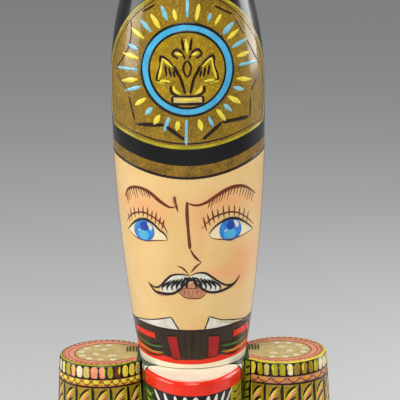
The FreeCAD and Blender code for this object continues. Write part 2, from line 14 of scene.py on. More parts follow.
import bmesh
import bpy
from mathutils import Matrix, Vector
from mathutils.bvhtree import BVHTree
from mathutils.interpolate import poly_3d_calc


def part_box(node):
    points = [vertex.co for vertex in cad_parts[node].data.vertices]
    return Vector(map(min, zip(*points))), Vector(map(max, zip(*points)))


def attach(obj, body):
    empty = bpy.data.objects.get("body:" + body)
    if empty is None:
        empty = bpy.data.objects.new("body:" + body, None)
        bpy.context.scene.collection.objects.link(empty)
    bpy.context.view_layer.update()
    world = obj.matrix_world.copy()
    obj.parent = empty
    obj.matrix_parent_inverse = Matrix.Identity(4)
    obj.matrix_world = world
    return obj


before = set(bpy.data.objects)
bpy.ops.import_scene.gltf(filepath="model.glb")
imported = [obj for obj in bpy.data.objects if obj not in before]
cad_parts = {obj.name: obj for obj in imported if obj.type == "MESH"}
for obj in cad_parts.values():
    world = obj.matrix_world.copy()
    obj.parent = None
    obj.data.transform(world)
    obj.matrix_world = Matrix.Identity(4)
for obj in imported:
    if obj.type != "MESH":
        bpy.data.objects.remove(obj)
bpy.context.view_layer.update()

MM = 0.001
brush_luck = random.Random(12)

# %% [markdown]
# ## Paint under lacquer
# Tempera dries matt and a little cloudy, because the painter mixes each tone by
# hand and the brush drags it. The clear lacquer on top gives the deep gloss. So
# one shader has two layers: a soft, uneven colour below, and a smooth coat
# above it. The cloud size and the drag of the bristles are real millimetres.

# %% Colours and nodes
def tint(code):
    """An sRGB hex colour as the linear numbers that shaders work with."""
    parts = [int(code[place:place + 2], 16) / 255 for place in (0, 2, 4)]
    return [part / 12.92 if part <= 0.04045 else ((part + 0.055) / 1.055) ** 2.4
            for part in parts] + [1]


def add(tree, kind, values=None, **settings):
    """A new node: its settings, then its inputs; an input given a socket is linked to it."""
    node = tree.nodes.new(kind)
    for name, value in settings.items():
        setattr(node, name, value)
    for socket, value in (values or {}).items():
        if isinstance(value, bpy.types.NodeSocket):
            tree.links.new(value, node.inputs[socket])
        else:
            node.inputs[socket].default_value = value
    return node


FINISHES = {}


def fresh(name, kind=""):
    """A new material kept in FINISHES: its tree, its shader and the place on the object."""
    FINISHES[name] = bpy.data.materials.new(name + kind)
    FINISHES[name].use_nodes = True
    tree = FINISHES[name].node_tree
    return (tree, tree.nodes["Principled BSDF"],
            add(tree, "ShaderNodeTexCoord").outputs["Object"])


def blend(tree, share, one, two):
    """The socket of a colour mixed from two others, each a hex code or a socket."""
    one, two = (tint(tone) if isinstance(tone, str) else tone for tone in (one, two))
    return add(tree, "ShaderNodeMix", {0: share, 6: one, 7: two}, data_type="RGBA").outputs[2]


def put(name, data):
    """A new object that holds this data, linked into the scene."""
    thing = bpy.data.objects.new(name, data)
    bpy.context.scene.collection.objects.link(thing)
    return thing


def tempera(name, colour, cloud, patch=7.0, gloss=0.38, drag=0.1, fleck=None, coat=0.5):
    """Tempera or bronze paint on wood under clear lacquer.
    colour and cloud are its two mixed tones, patch the size of the clouds in mm, drag how
    much the bristles streak it, fleck the tone of the grains in bronze paint, and coat how
    much lacquer lies on it."""
    tree, shader, place = fresh(name, "_bronze" if fleck else "_tempera")
    clouds = add(tree, "ShaderNodeTexNoise", {"Vector": place, "Scale": 1000 / patch,
                                              "Detail": 4.0, "Roughness": 0.6})
    share = add(tree, "ShaderNodeMapRange", {"Value": clouds.outputs["Fac"],
                                             "From Min": 0.36, "From Max": 0.66})
    base = blend(tree, share.outputs["Result"], colour, cloud)
    if fleck:
        # bronze grains are about 0.1 mm; drawn 0.6 mm wide, so that they show
        grains = add(tree, "ShaderNodeTexNoise", {"Vector": place, "Scale": 1000 / 0.6,
                                                  "Detail": 2.0})
        bright = add(tree, "ShaderNodeMapRange", {"Value": grains.outputs["Fac"],
                                                  "From Min": 0.52, "From Max": 0.72,
                                                  "To Max": 0.75})
        base = blend(tree, bright.outputs["Result"], base, fleck)
    # bristles are 0.1 mm apart and pulled mostly upright: drawn 0.5 mm by 3 mm
    pull = add(tree, "ShaderNodeMapping", {"Vector": place,
                                           "Scale": (2000.0, 2000.0, 330.0)})
    bristles = add(tree, "ShaderNodeTexNoise", {"Vector": pull.outputs["Vector"],
                                                "Scale": 1.0, "Detail": 2.0})
    shade = add(tree, "ShaderNodeMapRange", {"Value": bristles.outputs["Fac"],
                                             "From Min": 0.3, "From Max": 0.7,
                                             "To Min": 1 - drag, "To Max": 1 + drag * 0.6})
    toned = add(tree, "ShaderNodeVectorMath", {0: base, "Scale": shade.outputs["Result"]},
                operation="SCALE")
    rough = add(tree, "ShaderNodeMapRange", {"Value": clouds.outputs["Fac"],
                                             "To Min": gloss - 0.08, "To Max": gloss + 0.08})
    relief = add(tree, "ShaderNodeBump", {"Height": bristles.outputs["Fac"],
                                          "Strength": 0.25, "Distance": 0.00004})
    tree.links.new(toned.outputs["Vector"], shader.inputs["Base Color"])
    tree.links.new(rough.outputs["Result"], shader.inputs["Roughness"])
    tree.links.new(relief.outputs["Normal"], shader.inputs["Normal"])
    # the paint itself is matt; nitro lacquer, brushed on thin and smooth, gives the shine
    shader.inputs["Specular IOR Level"].default_value = 0.12
    shader.inputs["Coat Weight"].default_value = coat
    shader.inputs["Coat Roughness"].default_value = 0.14


# %% The painter's palette
tempera("hat_black", "060507", "0c0a0e", gloss=0.3, coat=0.38)
tempera("old_gold", "a8860e", "86680c", 5.0, 0.42, fleck="d6b238")
tempera("plate_gold", "917210", "74580a", 6.0, 0.42, fleck="c89a26")
tempera("dark_gold", "90690e", "644a0a", 3.0, 0.45, fleck="b08c2a")
tempera("skin", "ebc686", "e7bd79", 12.0, drag=0.02)
tempera("cream", "f7edd2", "f1e5c6", 8.0, drag=0.03)
tempera("eggshell", "f3e4bc", "ecd8a8", 4.0)
tempera("white", "ebe7da", "cfcab8", 4.0)
tempera("sky_blue", "52b6dc", "40a3cf", 4.0)
tempera("pale_blue", "8ccbd6", "6db4cc", 3.0)
tempera("iris_blue", "2e8edc", "1c72cc", 2.0)
tempera("deep_blue", "1440a8", "10308a", 2.0)
tempera("yellow", "f2e04c", "dcc436", 3.0)
tempera("leaf_yellow", "bcae1c", "96900f", 4.0)
tempera("umber", "2a1208", "1b0a05", 3.0)
tempera("ink_black", "100c0c", "1c1614", 3.0)
tempera("sienna", "78330f", "60260c", 3.0)
tempera("rose_brown", "cc9068", "b87650", 3.0)
tempera("scarlet", "f02c10", "e02408", 7.0, drag=0.05)
tempera("crimson", "b00e06", "9a0a04", 4.0)
tempera("salmon", "fba884", "f28c66", 4.0)
tempera("orange", "e89a3a", "d47c28", 3.0)
tempera("olive", "342206", "281804", 4.0)
tempera("khaki", "dcc47c", "c4aa60", 3.0)
tempera("coat_green", "14401c", "0c2c14", 6.0)
tempera("grass_green", "3f8a34", "2f7028", 3.0)
tempera("chestnut_hair", "4a2a16", "33190b", 3.0)
print(len(FINISHES), "paints mixed")

# %% [markdown]
# ## Blush
# Cheeks and eyelids get a thin peach wash over the flesh tone. A wash has no
# edge, so it isn't a piece of its own: the face's skin of paint carries an
# attribute called wash, 0 to 1 at each point, and the flesh shader mixes the
# peach in by that share.

# %% Let the flesh tone take the wash
def add_wash(finish, peach):
    """Mixes a second tone into a finish wherever the mesh's wash attribute says so."""
    tree = finish.node_tree
    shader = tree.nodes["Principled BSDF"]
    plain = shader.inputs["Base Color"].links[0].from_socket
    wash = add(tree, "ShaderNodeAttribute", attribute_name="wash")
    tree.links.new(blend(tree, wash.outputs["Fac"], plain, peach), shader.inputs["Base Color"])


add_wash(FINISHES["skin"], "efa06c")

# %% [markdown]
# ## A canvas on wood
# A painter thinks on the surface: this far round, this far up. A canvas here is
# a function that takes those two numbers and gives the point on the wood and
# the direction that looks out of it. It finds them by sending a straight line
# at the CAD piece, so paint always lies on the wood, whatever its shape. The
# outward direction is blended from the corners of the triangle that was met,
# which keeps highlights smooth over the small flat facets.

# %% Touching the wood
WOOD = {}


def touch(node, start, aim):
    """Where a line first meets a CAD piece: the point, and the smooth outward direction."""
    if node not in WOOD:
        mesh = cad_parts[node].data
        WOOD[node] = (mesh, BVHTree.FromPolygons([v.co for v in mesh.vertices],
                                                 [tuple(f.vertices) for f in mesh.polygons]))
    mesh, tree = WOOD[node]
    spot, flat, face, _ = tree.ray_cast(start, aim)
    if spot is None:
        raise RuntimeError(f"the line at {list(start)} misses {node}")
    loops = mesh.polygons[face].loop_indices
    corners = [mesh.vertices[mesh.loops[loop].vertex_index].co for loop in loops]
    shares = poly_3d_calc(corners, spot)
    outward = Vector((0, 0, 0))
    for loop, share in zip(loops, shares):
        outward += mesh.corner_normals[loop].vector * share
    return spot, (outward if outward.length > 0.1 else flat).normalized()


# %% Canvases
def round_canvas(node, axis, level, side=1):
    """Degrees round an upright axis from the front, and millimetres above a level."""
    def at(turn, up):
        angle = math.radians(turn)
        out = Vector((side * math.sin(angle), -math.cos(angle), 0))
        return touch(node, Vector((axis[0], axis[1], level + up * MM)) + 0.2 * out, -out)
    return at


def front_canvas(node, level, side=1):
    """Millimetres across and above a level, seen square from the front; side -1 is the back."""
    def at(across, up):
        return touch(node, Vector((across * MM, -0.3 * side, level + up * MM)),
                     Vector((0, side, 0)))
    return at


def top_canvas(node, centre, side=1):
    """Millimetres outwards and forwards from an upright axis, seen from above."""
    def at(out, ahead):
        return touch(node, Vector((centre[0] + side * out * MM, centre[1] - ahead * MM, 0.5)),
                     Vector((0, 0, -1)))
    return at


# %% [markdown]
# ## A skin of paint
# A filled area, such as a lip or a sleeve, is drawn by two edges that run the
# same way, like the two banks of a river. The area between them is divided into
# small cells, laid on the canvas, lifted by the thickness of the paint, and
# closed with a rim and an underside that sinks into the wood.

# %% Lines on a canvas
def length_of(points):
    return sum(math.dist(one, two) for one, two in zip(points, points[1:]))


def even(points, count):
    """So many points, evenly spaced along a line through the given ones."""
    marks = [0.0]
    for one, two in zip(points, points[1:]):
        marks.append(marks[-1] + math.dist(one, two))
    spaced, run = [], 0
    for index in range(count):
        reach = marks[-1] * index / (count - 1)
        while run < len(points) - 2 and marks[run + 1] < reach:
            run += 1
        span = marks[run + 1] - marks[run]
        share = min(1, max(0, (reach - marks[run]) / span)) if span else 0
        spaced.append(tuple(a + (b - a) * share for a, b in zip(points[run], points[run + 1])))
    return spaced


def flow(points, closed=False, steps=8):
    """A smooth line through a few points, as a hand would draw it."""
    if closed:
        points = [points[-1]] + list(points) + [points[0], points[1]]
    else:
        points = [points[0]] + list(points) + [points[-1]]
    line = []
    for before, one, two, after in zip(points, points[1:], points[2:], points[3:]):
        for step in range(steps):
            t = step / steps
            line.append(tuple(
                0.5 * (2 * b + (c - a) * t + (2 * a - 5 * b + 4 * c - d) * t * t
                       + (3 * b - a - 3 * c + d) * t ** 3)
                for a, b, c, d in zip(before, one, two, after)))
    line.append(tuple(points[-2]))
    return line


def circle(centre, radius, start=0, end=360, count=48, tall=1.0):
    """Points on a circle, in degrees clockwise from its top; tall stretches it upright."""
    return [(centre[0] + radius * math.sin(math.radians(start + (end - start) * i / count)),
             centre[1] + tall * radius * math.cos(math.radians(start + (end - start) * i / count)))
            for i in range(count + 1)]


def disc(centre, radius, tall=1.0):
    """The two edges of a filled circle."""
    return (circle(centre, radius, 270, 90, 24, tall), circle(centre, radius, -90, 90, 24, tall))


def settle(piece, body="figure"):
    """Hands a finished piece of paint to its body."""
    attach(piece, body)
    return piece


SUNK = 0.15                  # how deep a skin's underside lies in the wood, mm
MERGE = 0.000004             # points nearer than this are one point, metres


def cells_of(canvas, low, high, cell, lift, wash, work, layers):
    """Lays one area's cells into a bmesh: a top, an underside and a rim between them."""
    outward_of, wash_of = layers
    wide = max(3, math.ceil(max(length_of(low), length_of(high)) / cell) + 1)
    low, high = even(low, wide), even(high, wide)
    tall = max(2, math.ceil(max(math.dist(a, b) for a, b in zip(low, high)) / cell) + 1)
    top, under = [], []
    for row in range(tall):
        share = row / (tall - 1)
        for a, b in zip(low, high):
            u, v = a[0] + (b[0] - a[0]) * share, a[1] + (b[1] - a[1]) * share
            spot, outward = canvas(u, v)
            upper = work.verts.new(spot + outward * lift * MM)
            lower = work.verts.new(spot - outward * SUNK * MM)
            for vert in (upper, lower):
                vert[outward_of] = outward
                vert[wash_of] = wash(u, v) if wash else 0
            top.append(upper)
            under.append(lower)
    middle = (tall // 2) * wide + wide // 2 - (wide if tall // 2 == tall - 1 else 0)
    turn = (top[middle + 1].co - top[middle].co).cross(top[middle + wide].co - top[middle].co)
    flip = turn.dot(top[middle][outward_of]) < 0
    ring = ([i for i in range(wide)] + [r * wide + wide - 1 for r in range(1, tall)]
            + [(tall - 1) * wide + i for i in range(wide - 2, -1, -1)]
            + [r * wide for r in range(tall - 2, 0, -1)])
    for row in range(tall - 1):
        for i in range(wide - 1):
            corner = row * wide + i
            quad = (corner, corner + 1, corner + wide + 1, corner + wide)
            face = work.faces.new([top[k] for k in (reversed(quad) if flip else quad)])
            face.smooth = True
            work.faces.new([under[k] for k in (quad if flip else reversed(quad))])
    for one, two in zip(ring, ring[1:] + ring[:1]):
        wall = (under[one], under[two], top[two], top[one])
        work.faces.new(reversed(wall) if flip else wall)


def skin(name, finish, canvas, areas, lift=0.06, cell=1.0, wash=None, body="figure"):
    """A piece of paint that covers one or more areas, each a pair of edges on a canvas."""
    work = bmesh.new()
    layers = (work.verts.layers.float_vector.new("outward"), work.verts.layers.float.new("wash"))
    for low, high in areas:
        cells_of(canvas, low, high, cell, lift, wash, work, layers)
    bmesh.ops.remove_doubles(work, verts=work.verts, dist=MERGE)
    bmesh.ops.dissolve_degenerate(work, edges=work.edges, dist=MERGE)
    mesh = bpy.data.meshes.new(name)
    work.to_mesh(mesh)
    work.free()
    outward = [item.vector.copy() for item in mesh.attributes["outward"].data]
    shading = [(0, 0, 0)] * len(mesh.loops)
    for face in mesh.polygons:
        if face.use_smooth:
            for loop in face.loop_indices:
                shading[loop] = outward[mesh.loops[loop].vertex_index]
    mesh.normals_split_custom_set(shading)
    mesh.materials.append(FINISHES[finish])
    return settle(put(name, mesh), body)


# %% [markdown]
# ## A brush stroke
# The painter's lines swell and thin as the brush is pressed and lifted. One
# Geometry Nodes tree draws them all: a line of points that carry their own
# half-width and outward direction becomes a curve, the curve becomes a flat
# ribbon, and the ribbon is raised in the middle like a bead of wet paint. The
# bead's height doesn't grow with its width, so the profile is first drawn as a
# circle that remembers how high each of its points was, then pressed flat, and
# raised again by the thickness of the paint.

# %% The stroke tree
def make_stroke_tree():
    tree = bpy.data.node_groups.new("brush_stroke", "GeometryNodeTree")
    for name, kind, way in (
            ("Geometry", "Geometry", "INPUT"), ("Paint thickness", "Float", "INPUT"),
            ("Bead sides", "Int", "INPUT"), ("Finish", "Material", "INPUT"),
            ("Geometry", "Geometry", "OUTPUT")):
        tree.interface.new_socket(name, in_out=way, socket_type="NodeSocket" + kind)
    given = add(tree, "NodeGroupInput").outputs
    outward, width, rise = (
        add(tree, "GeometryNodeInputNamedAttribute", {"Name": name},
            data_type=kind).outputs["Attribute"]
        for name, kind in (("outward", "FLOAT_VECTOR"), ("half_width", "FLOAT"),
                           ("rise", "FLOAT")))
    curve = add(tree, "GeometryNodeMeshToCurve", {"Mesh": given["Geometry"]})
    facing = add(tree, "GeometryNodeSetCurveNormal", {"Curve": curve.outputs["Curve"],
                                                      "Normal": outward}, mode="FREE")
    ring = add(tree, "GeometryNodeCurvePrimitiveCircle", {"Resolution": given["Bead sides"],
                                                          "Radius": 1.0})
    where = add(tree, "GeometryNodeInputPosition")
    parts = add(tree, "ShaderNodeSeparateXYZ", {"Vector": where.outputs["Position"]})
    # the profile's X looks along the curve's normal, so it is what gets pressed flat
    marked = add(tree, "GeometryNodeStoreNamedAttribute",
                 {"Geometry": ring.outputs["Curve"], "Name": "rise",
                  "Value": parts.outputs["X"]}, data_type="FLOAT", domain="POINT")
    pressed = add(tree, "GeometryNodeTransform", {"Geometry": marked.outputs["Geometry"],
                                                  "Scale": (0.0, 1.0, 1.0)})
    ribbon = add(tree, "GeometryNodeCurveToMesh",
                 {"Curve": facing.outputs["Curve"], "Profile Curve": pressed.outputs["Geometry"],
                  "Scale": width, "Fill Caps": True})
    height = add(tree, "ShaderNodeMath", {0: rise, 1: given["Paint thickness"]},
                 operation="MULTIPLY")
    lift = add(tree, "ShaderNodeVectorMath", {0: outward, "Scale": height.outputs[0]},
               operation="SCALE")
    bead = add(tree, "GeometryNodeSetPosition", {"Geometry": ribbon.outputs["Mesh"],
                                                 "Offset": lift.outputs["Vector"]})
    smooth = add(tree, "GeometryNodeSetShadeSmooth", {"Geometry": bead.outputs["Geometry"]})
    real = add(tree, "GeometryNodeRealizeInstances", {"Geometry": smooth.outputs["Geometry"]})
    painted = add(tree, "GeometryNodeSetMaterial", {"Geometry": real.outputs["Geometry"],
                                                    "Material": given["Finish"]})
    add(tree, "NodeGroupOutput", {"Geometry": painted.outputs["Geometry"]})
    return tree


STROKE_TREE = make_stroke_tree()

# %% Drawing a stroke
BEAD = 0.09                  # paint thickness of a line, mm
STROKES = {}
SHAPES = {
    "brush": lambda t: min(1, 0.35 + t / 0.12, 0.15 + (1 - t) / 0.4),
    "even": lambda t: min(1, 0.5 + t / 0.1, 0.5 + (1 - t) / 0.1),
    "lens": lambda t: max(0.12, math.sin(math.pi * t)) ** 0.7,
    "swell": lambda t: max(0.2, math.sin(math.pi * t) ** 0.5),
    "hair": lambda t: max(0.12, 1 - t) ** 0.6,
}


def stroke(finish, canvas, points, width, shape="brush", lift=0.14, cell=0.9,
           closed=False, straight=False, body="figure"):
    """One brush stroke through a few points on a canvas; width and lift in mm."""
    line = list(points) if straight else flow(points, closed)
    if straight and closed:
        line.append(line[0])
    count = min(120, max(5, math.ceil(length_of(line) / cell) + 1))
    press = brush_luck.uniform(0, 6)
    marks = []
    for index, (u, v) in enumerate(even(line, count)):
        t = index / (count - 1)
        spot, outward = canvas(u, v)
        swell = 1 if closed else SHAPES[shape](t)
        wobble = 1 + 0.1 * math.sin(press + 9 * t)
        marks.append((spot + outward * (lift - BEAD) * MM, outward,
                      0.5 * width * MM * swell * wobble))
    if closed:
        marks.pop()
    STROKES.setdefault((body, finish), []).append((marks, closed))


def ruled(finish, canvas, points, width, lift=0.14, cell=0.9, **more):
    """A stroke of even width that runs straight from point to point."""
    stroke(finish, canvas, points, width, "even", lift, cell, straight=True, **more)


# %% [markdown]
# ## Where everything is
# The driving places come from the CAD pieces: the head's axis and underside,
# the arm axes and the top of the shoulders.

# %% Places taken from the frame
HEAD_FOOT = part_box("head")[0].z
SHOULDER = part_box("torso")[1].z
HANDS = ((1, "left"), (-1, "right"))   # the figure's own left is at +X
arm_boxes = {side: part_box(f"{hand}_arm") for side, hand in HANDS}
ARM_RADIUS = (arm_boxes[1][1].y - arm_boxes[1][0].y) / 2
ARM_AXIS = {side: ((high if side > 0 else low).x - side * ARM_RADIUS, (low.y + high.y) / 2)
            for side, (low, high) in arm_boxes.items()}
JAW_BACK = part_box("jaw_block")[1].y
face = front_canvas("head", HEAD_FOOT)
hat = round_canvas("head", (0, 0), HEAD_FOOT)
print("head underside", round(HEAD_FOOT, 4), "arm axes", ARM_AXIS)

# %% [markdown]
# ## The hat
# A tall grenadier's hat: a glossy black cap with a bronze plate in front, and
# below it a black band and a bronze band that dip towards the front, because
# the hat sits low over the brow. The dip is a sine of the angle, so one formula
# draws every level line, and the plate stands on the same line.

# %% Bands and plate
def level(height, dip=6.0, reach=180, start=None, step=4):
    """A level line round the head that dips towards the front, as (degrees, mm)."""
    start = -reach if start is None else start
    count = math.ceil((reach - start) / step)
    turns = [start + (reach - start) * i / count for i in range(count + 1)]
    return [(turn, height + dip * math.sin(math.radians(min(90, abs(turn)))) ** 2)
            for turn in turns]


PLATE_FOOT, BAND_TOP, BAND_FOOT = 77.5, 71.7, 67.6
PLATE_TURN = 73
plate_side = [(-73, 83.0), (-78, 88), (-79.5, 95), (-77.5, 106), (-65, 114.5),
              (-49, 121.5), (-33, 125.8), (-16, 130.5), (0, 133)]
plate_top = flow(plate_side + [(-turn, up) for turn, up in reversed(plate_side[:-1])])
skin("hat_plate", "plate_gold", hat, [(level(PLATE_FOOT, reach=PLATE_TURN), plate_top)], cell=2.4)
skin("hat_bronze_band", "dark_gold", hat, [(level(BAND_FOOT), level(BAND_TOP))], cell=2.6)
ruled("leaf_yellow", hat, plate_top, 1.0, cell=2.6)
ruled("leaf_yellow", hat, level(PLATE_FOOT + 0.3, reach=PLATE_TURN), 1.0, cell=2.6)
stroke("umber", hat, [(turn * 0.95, up + 1.7) for turn, up in level(PLATE_FOOT, reach=PLATE_TURN)],
       0.6, "swell", cell=2.6, straight=True)
stroke("umber", hat, [(turn * 0.94, up - 1.0) for turn, up in plate_top], 0.4, "swell",
       cell=2.6, straight=True)
ruled("umber", hat, level(BAND_FOOT), 1.1, cell=2.6)
print("plate and bands painted")

# %% [markdown]
# ## The emblem
# A blue ring round a sprig with two leaves, in a star of rays. The ring is the
# area between two circles drawn as seen from the front; the rays are one rule
# repeated: long blue ones to the four quarters, and between them yellow and
# blue by turns, each a little longer or shorter by the luck of the brush.

# %% Ring and rays
EMBLEM = (0.0, 103.4)
RING_IN, RING_OUT = 12.4, 14.8
skin("emblem_field", "old_gold", face, [disc(EMBLEM, RING_IN)], lift=0.10)
skin("emblem_ring", "sky_blue", face,
     [(circle(EMBLEM, RING_IN, half, half + 180), circle(EMBLEM, RING_OUT, half, half + 180))
      for half in (0, 180)], lift=0.13, cell=0.8)
for radius, width in ((RING_IN, 0.8), (RING_OUT + 0.15, 0.9)):
    stroke("ink_black", face, circle(EMBLEM, radius, count=36)[:-1], width, closed=True, lift=0.22)


def ray_at(degrees, inner, outer):
    turn = math.radians(degrees)
    return [(EMBLEM[0] + r * math.sin(turn), EMBLEM[1] + r * math.cos(turn))
            for r in (inner, outer)]


RAYS = 32
for ray in range(RAYS):
    quarter = ray % (RAYS // 4) == 0
    turn = 360 * ray / RAYS + brush_luck.uniform(-2, 2)
    outer = 24.6 if quarter else brush_luck.uniform(19.6, 22.4)
    if abs(math.sin(math.radians(turn))) > 0.9:
        outer = min(outer, 23.0)
    stroke("yellow" if ray % 2 else "pale_blue", face,
           ray_at(turn, brush_luck.uniform(15.9, 17.2), outer),
           1.0 if quarter else brush_luck.uniform(1.3, 1.9),
           "even" if quarter else "swell", straight=True)

# %% The star
STAR = [[(-10, 124.2), (-14.2, 121.8)], [(-18, 118.4), (-18.8, 110.8), (-23.4, 102.6)],
        [(-23.2, 100.4), (-19.4, 95.4)], [(-19.4, 94), (-17.6, 86.2)],
        [(-17.2, 85), (-8, 85.4)], [(-7.6, 85.2), (-1.4, 80.6)],
        [(4.8, 80.6), (11, 85.8)], [(11.2, 85.8), (20, 86.4)],
        [(20.4, 86.6), (20.6, 92.6)], [(20.8, 94.8), (23.6, 100)],
        [(23.8, 103), (19.8, 111.4)], [(18.8, 113.6), (16, 119)], [(15, 120.4), (9.2, 123.6)]]
for number, points in enumerate(STAR):
    stroke("umber", face, points, 1.35 if 3 < number < 8 else 0.75, "even",
           straight=len(points) == 2)

# %% The sprig
SPRIG_LEAF = [(-1.6, -3.5), (-4.6, 1.2), (-6.6, 3.6), (-8.6, 4.4), (-8.6, 1.5), (-9.8, -3.2),
              (-6.2, -4.0)]


def on_emblem(points, flip=1):
    return [(EMBLEM[0] + flip * x, EMBLEM[1] + y) for x, y in points]


SPRIG = [   # (paint, width, shape, points for the right half; the left is its mirror)
    ("umber", 0.9, "even", SPRIG_LEAF),
    ("yellow", 1.3, "lens", [(-9.4, -3.2), (-8.0, 3.6)]),
    ("yellow", 1.2, "lens", [(-8.0, 3.8), (-4.2, 0.8)]),
    ("yellow", 1.4, "lens", [(-10, -3.9), (-5.4, -3.6)]),
    ("umber", 0.8, "brush", [(-7.2, 1.6), (-6.6, -2.2)]),
    ("umber", 0.8, "brush", [(-5.9, 0.9), (-5.2, -2.4)]),
    ("umber", 0.8, "brush", [(-4.6, 0), (-4.0, -2.4)]),
    ("umber", 0.9, "even", [(-4.2, 1.4), (-2.2, -2.6), (-0.8, -7.6)]),
    ("umber", 0.9, "brush", [(-5.4, -5.0), (-5.2, -7.2), (-2.4, -8.4)]),
    ("yellow", 1.2, "lens", [(-4.4, -5.0), (-4.2, -6.6), (-2.2, -7.8)]),
    ("umber", 0.8, "even",
     [(-0.6, 3.6), (-1.8, 5.8), (-3.4, 6.8), (-4.8, 5.2), (-2.8, 3.8)]),
    ("umber", 0.9, "brush", [(-1.0, 6.2), (-1.7, 10.6)]),
    ("yellow", 1.1, "lens", [(-3.9, 5.5), (-1.2, 4.9)])]
for flip in (1, -1):
    for finish, width, shape, points in SPRIG:
        stroke(finish, face, on_emblem(points, flip), width, shape, 0.22, 0.7)
stroke("yellow", face, on_emblem([(-0.2, 10.2), (0.1, 5.2)]), 1.4, "lens", 0.22)
stroke("umber", face, on_emblem([(0, 3.2), (-1.3, 0.6), (0, -2.2), (1.3, 0.6)]), 0.7,
       lift=0.22, closed=True)
skin("emblem_bar", "khaki", face,
     [(on_emblem([(-4.6, -10.6), (4.6, -10.6)]), on_emblem([(-4.6, -8.8), (4.6, -8.8)]))],
     lift=0.14)
for finish, width, shape, points in (
        ("umber", 0.9, "even", [(-5, -11), (5, -11)]),
        ("umber", 0.7, "even", [(-5, -8.5), (5, -8.5)]),
        ("umber", 0.8, "even", [(-5, -8.5), (-5, -11)]),
        ("umber", 0.8, "even", [(5, -8.5), (5, -11)]),
        ("yellow", 1.0, "lens", [(-3.6, -9.7), (3.8, -9.7)])):
    stroke(finish, face, on_emblem(points), width, shape, 0.24)
print("emblem painted")

# %% [markdown]
# ## The face
# First the flesh tone from the collar to the hat, with its blush. Then the
# features, each as a painter does them: the white of the eye, the iris, the
# pupil and its light, then the lids in one dark stroke each, and last the
# single line that is both brow and nose.

# %% Flesh, hair and blush
BLUSH = [(-15, 58, 6, 3.4, 0.7), (12, 59, 8, 3.4, 0.75), (3.4, 55, 3.2, 4.5, 0.6),
         (16, 38, 5, 5, 0.7), (8, 34, 6, 2.4, 0.65), (15, 31.5, 4, 3, 0.6), (-9, 54, 2.6, 4, 0.5),
         (2.6, 45, 2.4, 7, 0.35), (21, 55, 3, 3, 0.45)]


def blush(turn, up):
    """How much peach lies here: soft ovals at (across, up), so wide, so tall, so strong."""
    across = math.sin(math.radians(turn)) * (18.5 + 0.075 * up)
    clear = 1.0
    for x, z, wide, tall, strong in BLUSH:
        clear *= 1 - strong * math.exp(-((across - x) / wide) ** 2 - ((up - z) / tall) ** 2)
    return 1 - clear


def straight_level(height, reach, start=None):
    return level(height, dip=0, reach=reach, start=start)


def belt_of(low, high, reach, start=None):
    """The two edges of a level band."""
    return (straight_level(low, reach, start), straight_level(high, reach, start))


skin("flesh", "skin", hat, [(straight_level(0.5, 84), level(BAND_FOOT, reach=84))],
     cell=2.2, wash=blush)
skin("hair", "chestnut_hair", hat,
     [(straight_level(1, 276, 84), [(turn, BAND_FOOT + 6) for turn, up in
                                    straight_level(0, 276, 84)])], cell=3)
for lock in range(40):
    turn = 86 + 188 * lock / 39
    bow = brush_luck.uniform(-3, 3)
    stroke("sienna", hat, [(turn, 72), (turn + bow, 50), (turn - bow, 28), (turn, 8)],
           brush_luck.uniform(0.4, 0.9), cell=3)

# %% Eyes
EYES = {
    "right": {"lid": [(-20.8, 47.9), (-19.3, 50.2), (-17.2, 52.2), (-14.8, 52.8),
                      (-12.5, 51.8), (-10.3, 49.7), (-8.4, 48.3), (-7.6, 46.3)],
              "low": [(-20.4, 47.6), (-18.4, 45.9), (-15, 45.2), (-12.2, 45.7), (-7.8, 46.2)],
              "crease": [(-21.3, 50.6), (-19.6, 53.4), (-17.4, 54.7), (-15.2, 55),
                         (-12.9, 54.2), (-10.6, 52.8), (-8.7, 51), (-7.5, 48.6)],
              "iris": (-15.3, 48.8), "size": 3.4},
    "left": {"lid": [(6.1, 48.2), (7.7, 50.2), (10, 51.9), (12.7, 52.8), (15.4, 52.5),
                     (17.3, 51.3), (19.3, 49.4), (20.9, 47.2)],
             "low": [(6.1, 47.9), (7.4, 46.6), (9.9, 46), (13, 45.6), (16.1, 45.8),
                     (20.7, 47)],
             "crease": [(3.7, 50), (5.4, 52), (7.7, 53.8), (10.4, 54.7), (13.5, 55),
                        (16.2, 54.1), (18.9, 51.9), (21.3, 48.6)],
             "iris": (13.3, 49.0), "size": 3.7},
}
